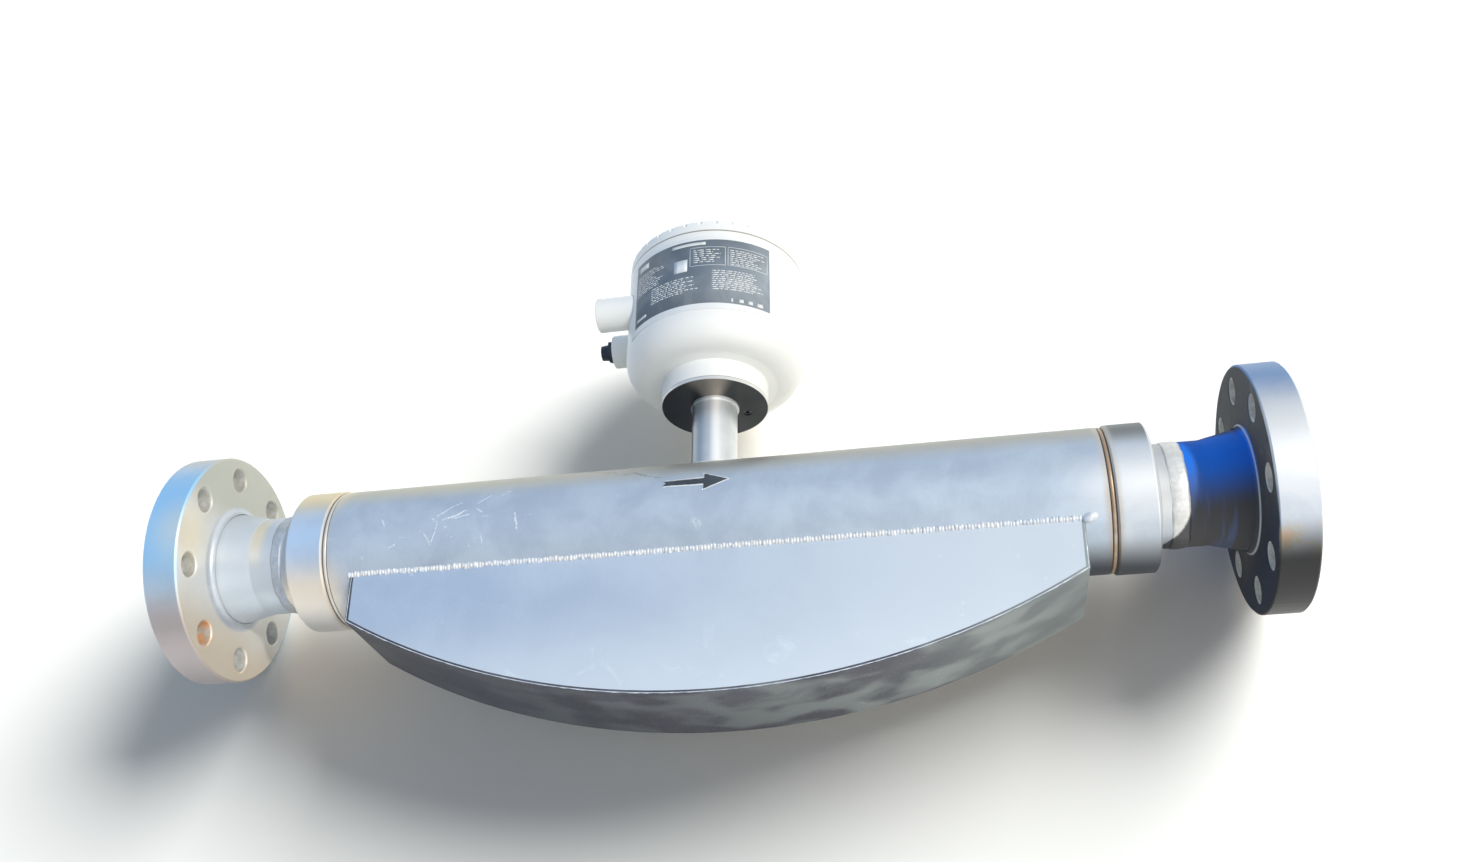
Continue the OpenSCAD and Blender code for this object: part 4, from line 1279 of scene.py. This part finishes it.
@dataclass
class EdgeBeads:
    """The thin ground welds that close the belly's corners: two long arcs and four short ends."""

    radius: float = 0.9 * MM
    inset: float = 0.75 * MM
    half_angle: float = math.asin(ARC_HALF / ARC_R)

    def arc(self, bm: bmesh.types.BMesh, side: int) -> None:
        """Adds the bead along one long curved edge.

        Args:
            bm: the mesh.
            side: -1 at the front, 1 at the rear.
        """
        at = Vector((CENTRE_X, side * (PLATE_Y - self.inset), ARC_Z - ARC_R + self.radius + 0.2 * MM))
        turn = Matrix.Rotation(-self.half_angle, 4, "Y")
        pivot = Vector((CENTRE_X, 0.0, ARC_Z))
        frame_at = Matrix.Translation(pivot) @ turn @ Matrix.Translation(at - pivot)
        upright = frame_at @ Matrix.Rotation(math.pi / 2, 4, "Y")
        made = bmesh.ops.create_circle(bm, radius=self.radius, segments=8, matrix=upright)["verts"]
        edges = list(dict.fromkeys(e for v in made for e in v.link_edges))
        swept(bm, made + edges, pivot, Vector((0.0, 1.0, 0.0)), 2 * self.half_angle, 150)

    def ends(self, bm: bmesh.types.BMesh, side: int) -> None:
        """Adds the short straight beads at both ends of one side.

        Args:
            bm: the mesh.
            side: -1 at the front, 1 at the rear.
        """
        for way in (-1, 1):
            y = side * (PLATE_Y - self.inset)
            low = Vector((CENTRE_X + way * (ARC_HALF - self.inset), y, END_LOW))
            high = Vector((CENTRE_X + way * (END_HALF - self.inset), y, SEAM_Z))
            run = high - low
            turn = run.to_track_quat("Z", "Y").to_matrix().to_4x4()
            bmesh.ops.create_cone(
                bm,
                cap_ends=True,
                segments=8,
                radius1=self.radius,
                radius2=self.radius,
                depth=run.length,
                matrix=Matrix.Translation((low + high) / 2) @ turn,
            )

    def make(self, material: bpy.types.Material) -> bpy.types.Object:
        """Builds all the edge beads as one piece.

        Args:
            material: their finish.

        Returns:
            The piece.
        """
        bm = bmesh.new()
        for side in (-1, 1):
            self.arc(bm, side)
            self.ends(bm, side)
        open_edges = [e for e in bm.edges if e.is_boundary]
        bmesh.ops.holes_fill(bm, edges=open_edges, sides=8)
        for vert in bm.verts:
            jitter = noise.noise(vert.co * 210.0) * 0.2 * MM
            vert.co.z += jitter
            vert.co.y += jitter * 0.6 * (1 if vert.co.y < 0 else -1)
        closed(bm)
        return mesh_object("belly_edge_beads", bm, material, Body.CASE)


@dataclass
class FlowArrow:
    """The painted flow arrow on the housing tube: a dark arrow on a pale, brushed ground."""

    tail: float = 0.4575
    tip: float = 0.5146
    head_l: float = 0.021
    shaft: float = 3.4 * MM
    head_half: float = 9.5 * MM
    arc_at: float = TUBE_R * math.radians(17.0)
    ground_grow: float = 1.5 * MM
    ground_lift: float = 0.08 * MM
    arrow_lift: float = 0.2 * MM

    def outline(self, grow: float) -> List[Tuple[float, float]]:
        """The arrow's corners.

        Args:
            grow: how much larger it is all round.

        Returns:
            The corners as (along, across).
        """
        neck = self.tip - self.head_l
        half, barb = self.shaft + grow, self.head_half + grow
        return [
            (self.tail - grow, -half * 0.8),
            (neck - grow * 0.4, -half),
            (neck - grow, -barb),
            (self.tip + grow * 1.8, 0.0),
            (neck - grow, barb),
            (neck - grow * 0.4, half),
            (self.tail - grow, half * 0.8),
            (self.tail + 3 * MM, 0.2 * half),
        ]

    def sheet(self, name: str, grow: float, lift: float, material: bpy.types.Material) -> bpy.types.Object:
        """Builds one flat layer and bends it onto the tube.

        Args:
            name: the piece's name.
            grow: how much larger than the arrow it is.
            lift: its height over the tube.
            material: its paint.

        Returns:
            The piece.
        """
        bm = bmesh.new()
        corners = [bm.verts.new((s, 0.0, t)) for s, t in self.outline(grow)]
        bm.faces.new(corners)
        cuts = [((0.0, 0.0, i * 1.5 * MM), (0.0, 0.0, 1.0)) for i in range(-7, 8)]
        cuts += [((self.tail - grow + i * 2.6 * MM, 0.0, 0.0), (1.0, 0.0, 0.0)) for i in range(24)]
        for point, normal in cuts:
            geom = list(bm.verts) + list(bm.edges) + list(bm.faces)
            bmesh.ops.bisect_plane(bm, geom=geom, plane_co=point, plane_no=normal)
        bmesh.ops.triangulate(bm, faces=list(bm.faces))
        for vert in bm.verts:
            rag = noise.noise(Vector((vert.co.x * 330, vert.co.z * 330, grow * 900))) * 0.55 * MM
            turn = (self.arc_at + vert.co.z + rag) / TUBE_R
            reach = TUBE_R + lift
            vert.co = Vector((vert.co.x + rag * 0.6, -reach * math.cos(turn), reach * math.sin(turn)))
        bm.normal_update()
        for face in bm.faces:
            if face.normal.y > 0:
                face.normal_flip()
        bmesh.ops.solidify(bm, geom=list(bm.faces), thickness=INK)
        bmesh.ops.recalc_face_normals(bm, faces=bm.faces)
        return mesh_object(name, bm, material, Body.CASE)

    def make(self, pale: bpy.types.Material, dark: bpy.types.Material) -> None:
        """Builds the pale ground and the dark arrow.

        Args:
            pale: the ground's paint.
            dark: the arrow's paint.
        """
        self.sheet("flow_arrow_ground", self.ground_grow, self.ground_lift, pale)
        self.sheet("flow_arrow", 0.0, self.arrow_lift, dark)


@dataclass
class PlatePrint:
    """The nameplate's print as plain fields: a dark field, pale bars, boxes and one blank square."""

    radius: float = 86.18 * MM
    field_from: float = -50.6
    field_to: float = 46.2
    low: float = 0.1893
    high: float = 0.2637
    field_lift: float = 0.06 * MM
    bar_lift: float = 0.16 * MM
    box_lift: float = 0.2 * MM
    seed: int = 5

    def patch(
        self, bm: bmesh.types.BMesh, turn: Tuple[float, float], height: Tuple[float, float], lift: float
    ) -> None:
        """Adds one rectangle bent round the head.

        Args:
            bm: the mesh.
            turn: its left and right edges in degrees from the front.
            height: its lower and upper edges.
            lift: its height over the plate.
        """
        steps = max(1, int(abs(turn[1] - turn[0]) / 2.5))
        made = bmesh.ops.create_grid(bm, x_segments=steps, y_segments=1, size=0.5)["verts"]
        reach = self.radius + lift
        for vert in made:
            angle = math.radians(turn[0] + (turn[1] - turn[0]) * (vert.co.x + 0.5))
            z = height[0] + (height[1] - height[0]) * (vert.co.y + 0.5)
            vert.co = Vector((CENTRE_X + reach * math.sin(angle), -reach * math.cos(angle), z))

    def close(self, bm: bmesh.types.BMesh) -> None:
        """Points the sheets outwards and gives them the ink's thickness.

        Args:
            bm: the mesh.
        """
        bm.normal_update()
        for face in bm.faces:
            middle = face.calc_center_median()
            if face.normal.dot(Vector((middle.x - CENTRE_X, middle.y, 0.0))) < 0:
                face.normal_flip()
        bmesh.ops.solidify(bm, geom=list(bm.faces), thickness=INK)
        bmesh.ops.recalc_face_normals(bm, faces=bm.faces)

    def rows(
        self, bm: bmesh.types.BMesh, left: float, right: float, top: float, count: int, dice: random.Random
    ) -> None:
        """Adds a block of short pale bars in rows.

        Args:
            bm: the mesh.
            left: left edge in degrees.
            right: right edge in degrees.
            top: upper edge.
            count: how many rows.
            dice: the seeded source of lengths.
        """
        for i in range(count):
            z = top - i * 2.35 * MM
            at = left
            stop = right - dice.uniform(0.0, 0.4) * (right - left)
            while at < stop:
                run = dice.uniform(1.2, 4.6)
                self.patch(bm, (at, min(at + run, stop)), (z - 1.05 * MM, z), self.bar_lift)
                at += run + dice.uniform(0.5, 0.9)

    def make(self, dark: bpy.types.Material, pale: bpy.types.Material, blank: bpy.types.Material) -> None:
        """Builds the print.

        Args:
            dark: the field's ink.
            pale: the bars' ink.
            blank: the ink of the boxes and the square.
        """
        field = bmesh.new()
        self.patch(field, (self.field_from, self.field_to), (self.low, self.high), self.field_lift)
        self.close(field)
        mesh_object("plate_field", field, dark, Body.HEAD)
        dice = random.Random(self.seed)
        bars = bmesh.new()
        self.rows(bars, -48.6, -24.0, 0.2470, 10, dice)
        self.rows(bars, -4.0, 15.5, 0.2520, 7, dice)
        self.rows(bars, 19.0, 43.0, 0.2520, 8, dice)
        self.rows(bars, -34.0, 1.5, 0.2215, 8, dice)
        self.rows(bars, 8.0, 41.0, 0.2270, 10, dice)
        self.patch(bars, (-47.0, -37.5), (0.2525, 0.2585), self.bar_lift)
        self.patch(bars, (-18.5, 4.0), (0.2578, 0.2612), self.bar_lift)
        self.patch(bars, (-48.0, -38.0), (0.1945, 0.1975), self.bar_lift)
        for at, width in ((20.0, 1.2), (25.0, 3.0), (31.0, 3.0), (37.0, 4.0)):
            self.patch(bars, (at, at + width), (0.1915, 0.1955), self.bar_lift)
        self.close(bars)
        mesh_object("plate_bars", bars, pale, Body.HEAD)
        fields = bmesh.new()
        self.patch(fields, (-16.5, -7.5), (0.2285, 0.2425), self.bar_lift)
        for left, right, low, high in ((-6.0, 16.5, 0.2335, 0.2545), (17.8, 44.5, 0.2335, 0.2545)):
            for turn, height in (
                ((left, right), (high, high + 0.5 * MM)),
                ((left, right), (low - 0.5 * MM, low)),
                ((left, left + 0.35), (low, high)),
                ((right - 0.35, right), (low, high)),
            ):
                self.patch(fields, turn, height, self.box_lift)
        self.close(fields)
        mesh_object("plate_boxes", fields, blank, Body.HEAD)


# ---------------------------------------------------------------- the meter


class Wardrobe:
    """Every finish of the meter, found by its own name or by the CAD node that wears it."""

    turned, even, lengthwise = (70.0, 500.0, 500.0), (300.0, 300.0, 300.0), (30.0, 900.0, 30.0)
    finishes: Tuple[Finish, ...] = (
        FlangeSteel("flange_inlet", (0.6, 0.65, 0.7), (0.48, 0.53, 0.58), turned, side=Side.INLET),
        FlangeSteel("flange_outlet", (0.64, 0.68, 0.73), (0.5, 0.55, 0.62), turned, side=Side.OUTLET),
        HousingSteel("ring_steel", (0.64, 0.69, 0.74), (0.52, 0.58, 0.64)),
        HousingSteel("tube_steel", (0.55, 0.64, 0.73), (0.46, 0.54, 0.64)),
        BellySheet("belly_sheet", (0.53, 0.63, 0.76), (0.44, 0.54, 0.68), even, roughness=0.5, cloud=9.0),
        BandSteel("band_steel", (0.11, 0.11, 0.135), (0.06, 0.062, 0.08), lengthwise, roughness=0.36),
        BandSteel("end_steel", (0.17, 0.21, 0.25), (0.1, 0.125, 0.15), roughness=0.4),
        BrushedSteel("drawn_tube", (0.72, 0.74, 0.76), (0.6, 0.62, 0.65), (60.0, 700.0, 700.0), 0.8, 0.3),
        StemSteel("stem_steel", (0.78, 0.8, 0.8), (0.62, 0.65, 0.66), (500.0, 500.0, 40.0), 0.6, 0.34),
        WeldMetal("seam_weld", (0.84, 0.86, 0.88), (0.62, 0.66, 0.7), (0.76, 0.72, 0.63), 0.35, 0.1),
        WeldMetal("neck_weld", (0.88, 0.88, 0.85), (0.72, 0.72, 0.7), (0.8, 0.77, 0.68), 0.4),
        WeldMetal("neck_weld_dull", (0.48, 0.54, 0.62), (0.4, 0.46, 0.53), (0.58, 0.55, 0.48), 0.4),
        WeldMetal("edge_weld", (0.86, 0.89, 0.92), (0.6, 0.64, 0.7), (0.75, 0.72, 0.66), 0.25),
        GrooveWeld("groove_weld"),
        PowderCoat("head_coat", entries=True),
        PowderCoat("lid_coat", (0.87, 0.875, 0.84)),
        TurnedDark("adapter_disc"),
        Moulded("dark_steel", (0.1, 0.105, 0.115), 0.4, 0.7),
        Moulded("rubber", (0.02, 0.02, 0.02), 0.7),
        Moulded("cable_sheath", (0.04, 0.04, 0.045), 0.55),
        Moulded("black_plastic", (0.014, 0.024, 0.045)),
        Moulded("display_bezel", (0.05, 0.052, 0.056)),
        Moulded("white_plastic", (0.75, 0.73, 0.66)),
        Moulded("terminal_green", (0.05, 0.2, 0.1)),
        Moulded("copper_wire", (0.55, 0.25, 0.12), 0.35, 0.8, 1400.0, 0.0001),
        Moulded("magnet", (0.4, 0.4, 0.41), 0.3, 0.9),
        Moulded("plated_brass", (0.62, 0.58, 0.42), 0.3, 0.9),
        Moulded("tin_can", (0.6, 0.61, 0.62), 0.28, 0.9),
        Moulded("screen", (0.34, 0.4, 0.31), 0.15),
        CircuitBoard("circuit_board"),
        ClearGlass("window_glass"),
        PrintedPlate("plate_border", (0.82, 0.84, 0.83), (0.9, 0.9, 0.88), 0.35, 0.1),
        PrintedPlate("ink_dark", (0.13, 0.165, 0.2), (0.36, 0.41, 0.45)),
        PrintedPlate("ink_pale", (0.72, 0.75, 0.74), (0.85, 0.86, 0.84)),
        PrintedPlate("ink_blank", (0.75, 0.8, 0.84), (0.88, 0.9, 0.9)),
        PrintedPlate("arrow_dark", (0.035, 0.045, 0.06), (0.1, 0.12, 0.14), 0.5),
        PrintedPlate("arrow_pale", (0.78, 0.8, 0.8), (0.9, 0.9, 0.88), 0.5),
    )
    worn_by: Dict[str, str] = {
        "flange_inlet": "inlet_flange",
        "flange_outlet": "outlet_flange",
        "ring_steel": "inlet_manifold outlet_manifold",
        "tube_steel": "housing_tube",
        "belly_sheet": "belly_front_plate belly_rear_plate",
        "band_steel": "belly_bottom_band",
        "end_steel": "belly_end_inlet belly_end_outlet",
        "drawn_tube": "measuring_tube_front measuring_tube_rear brace_plates coil_brackets",
        "stem_steel": "stem",
        "seam_weld": "seam_welds",
        "neck_weld": "neck_welds stem_weld",
        "groove_weld": "ring_welds",
        "head_coat": "head_housing",
        "lid_coat": "lid",
        "adapter_disc": "neck_adapter",
        "dark_steel": "feedthrough lock_screw",
        "rubber": "swivel_seal lid_seal",
        "cable_sheath": "signal_cable",
        "black_plastic": "rear_entry_plug",
        "display_bezel": "carrier_plate display_module window_ring",
        "white_plastic": "temperature_sensor sensor_connector",
        "terminal_green": "terminal_block",
        "copper_wire": "drive_coil pickoff_coils",
        "magnet": "drive_magnet pickoff_magnets retaining_ring",
        "plated_brass": "board_spacers display_posts",
        "tin_can": "earth_screw shield_can",
        "screen": "display_glass",
        "circuit_board": "main_board",
        "window_glass": "lid_window",
        "plate_border": "nameplate",
    }

    def __init__(self) -> None:
        """Builds the materials."""
        self.made = {finish.name: finish.build() for finish in self.finishes}
        self.worn = {node: self.made[name] for name, nodes in self.worn_by.items() for node in nodes.split()}

    def __getitem__(self, name: str) -> bpy.types.Material:
        """The material with a finish's name."""
        return self.made[name]


@dataclass
class Meter:
    """The whole dressed meter."""

    wardrobe: Wardrobe

    def dress(self) -> None:
        """Gives every CAD node its finish."""
        for name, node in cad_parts.items():
            material = self.wardrobe.worn[name]
            if not node.material_slots:
                node.data.materials.append(material)
            for slot in node.material_slots:
                slot.material = material
        log.info("dressed %d nodes", len(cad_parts))

    def weld(self) -> None:
        """Lays the weld beads."""
        finish = self.wardrobe
        SeamBead().make(finish["seam_weld"])
        inlet = NeckBead("neck_bead_inlet", WELD_X, 4.6 * MM, 0.7 * MM)
        inlet.make(finish["neck_weld_dull"], ("neck_welds",))
        outlet = NeckBead("neck_bead_outlet", LENGTH - WELD_X - 0.6 * MM, 7.4 * MM, 0.9 * MM)
        outlet.make(finish["neck_weld"], ())
        EdgeBeads().make(finish["edge_weld"])

    def mark(self) -> None:
        """Adds the arrow and the plate's print."""
        finish = self.wardrobe
        FlowArrow().make(finish["arrow_pale"], finish["arrow_dark"])
        PlatePrint().make(finish["ink_dark"], finish["ink_pale"], finish["ink_blank"])


# ---------------------------------------------------------------- the studio


class Lit(Enum):
    """What a lamp shines on."""

    GROUND = "INCLUDE"
    METER = "EXCLUDE"


@dataclass(frozen=True)
class Lamp:
    """A distant lamp."""

    name: str
    towards: Tuple[float, float, float]
    strength: float
    spread: float
    colour: Colour
    lit: Lit

    def light(self, ground: bpy.types.Object) -> bpy.types.Object:
        """Makes the lamp, which shines from the side that `towards` points at.

        Args:
            ground: the ground, which is lit apart from the meter.

        Returns:
            The lamp.
        """
        data = bpy.data.lights.new(self.name, "SUN")
        data.energy = self.strength
        data.angle = math.radians(self.spread)
        data.color = self.colour
        lamp = bpy.data.objects.new(self.name, data)
        lamp.rotation_mode = "QUATERNION"
        lamp.rotation_quaternion = Vector(self.towards).to_track_quat("Z", "Y")
        bpy.context.scene.collection.objects.link(lamp)
        receivers = bpy.data.collections.new(f"{self.name}_receivers")
        receivers.objects.link(ground)
        receivers.collection_objects[0].light_linking.link_state = self.lit.value
        lamp.light_linking.receiver_collection = receivers
        return lamp


@dataclass
class Studio:
    """The ground that the meter lies on, the sky, the lamps and the camera."""

    ground_y: float = 0.1052
    reach: float = 14.0
    lamps: Tuple[Lamp, ...] = (
        Lamp("sun", SUN, 1.95, 3.0, (1.0, 0.96, 0.9), Lit.METER),
        Lamp("low_fill", (0.45, -0.5, -0.74), 1.05, 60.0, (1.0, 0.98, 0.95), Lit.METER),
        Lamp("ground_light", (0.7, -0.6, 0.55), 7.0, 42.0, (0.8, 0.9, 1.0), Lit.GROUND),
    )

    def sky(self) -> None:
        """A plain sky, white where it is seen, brighter from the outlet side than from the inlet or below."""
        g = Graph("sky", sky=True)
        split = g.new("ShaderNodeSeparateXYZ")
        g.feed(split.inputs[0], g.new("ShaderNodeTexCoord").outputs["Generated"])
        outlet_side = g.step(split.outputs[0], -0.8, 0.9)
        above = g.step(split.outputs[2], -0.95, 0.05)
        diffuse = g.mix(outlet_side, (0.17, 0.33, 0.58), (0.47, 0.48, 0.48))
        diffuse = g.mix(above, (0.27, 0.27, 0.28), diffuse)
        mirrored = g.mix(outlet_side, (0.36, 0.5, 0.7), (0.98, 0.97, 0.95))
        mirrored = g.mix(above, (0.3, 0.29, 0.29), mirrored)
        rays = g.new("ShaderNodeLightPath").outputs
        direct = g.math("MAXIMUM", rays["Is Camera Ray"], rays["Is Transmission Ray"])
        colour = g.mix(rays["Is Glossy Ray"], diffuse, mirrored)
        shine = g.new("ShaderNodeBackground")
        g.feed(shine.inputs["Color"], g.mix(direct, colour, (1.0, 1.0, 1.0)))
        bpy.context.scene.world = g.close(shine)

    def ground(self) -> bpy.types.Object:
        """The pale ground behind the meter, seen from its front side only.

        Returns:
            The ground.
        """
        bm = bmesh.new()
        bmesh.ops.create_grid(bm, x_segments=1, y_segments=1, size=self.reach)
        bmesh.ops.rotate(bm, verts=bm.verts, cent=(0, 0, 0), matrix=Matrix.Rotation(math.pi / 2, 3, "X"))
        bmesh.ops.translate(bm, verts=bm.verts, vec=(CENTRE_X, self.ground_y, 0.0))
        bm.normal_update()
        for face in bm.faces:
            if face.normal.y > 0:
                face.normal_flip()
        mesh = bpy.data.meshes.new("ground")
        bm.to_mesh(mesh)
        bm.free()
        g = Graph("ground")
        matte = g.new("ShaderNodeBsdfDiffuse")
        g.feed(matte.inputs["Color"], (0.88, 0.78, 0.66))
        clear = g.new("ShaderNodeBsdfTransparent")
        back = g.new("ShaderNodeNewGeometry").outputs["Backfacing"]
        shadow = g.new("ShaderNodeLightPath").outputs["Is Shadow Ray"]
        pick = g.new("ShaderNodeMixShader")
        g.feed(pick.inputs[0], g.math("MAXIMUM", back, shadow))
        g.feed(pick.inputs[1], matte.outputs[0])
        g.feed(pick.inputs[2], clear.outputs[0])
        mesh.materials.append(g.close(pick))
        floor = bpy.data.objects.new("ground", mesh)
        bpy.context.scene.collection.objects.link(floor)
        return floor

    def camera(self) -> bpy.types.Object:
        """The camera, low on the outlet side and looking up along the belly.

        Returns:
            The camera.
        """
        data = bpy.data.cameras.new("camera")
        data.sensor_width = 36.0
        data.lens = 31.5686
        data.clip_start, data.clip_end = 0.05, 60.0
        camera = bpy.data.objects.new("camera", data)
        right = Vector((0.985269, 0.171008, 0.000669))
        up = Vector((0.089501, -0.518993, 0.85008))
        back = Vector((0.145717, -0.837498, -0.526654))
        turn = Matrix((right, up, back)).transposed().to_4x4()
        camera.matrix_world = Matrix.Translation((0.68861, -1.00701, -0.53035)) @ turn
        bpy.context.scene.collection.objects.link(camera)
        bpy.context.scene.camera = camera
        return camera

    def build(self) -> None:
        """Sets everything up."""
        bpy.context.scene.view_settings.view_transform = "Standard"
        self.sky()
        ground = self.ground()
        self.camera()
        for lamp in self.lamps:
            lamp.light(ground)
        log.info("studio ready")


def main() -> None:
    """Dresses the meter and sets up the studio."""
    logging.basicConfig(level=logging.INFO, format="%(name)s: %(message)s")
    Studio().build()
    meter = Meter(Wardrobe())
    meter.dress()
    meter.weld()
    meter.mark()


if __name__ == "__main__":
    main()
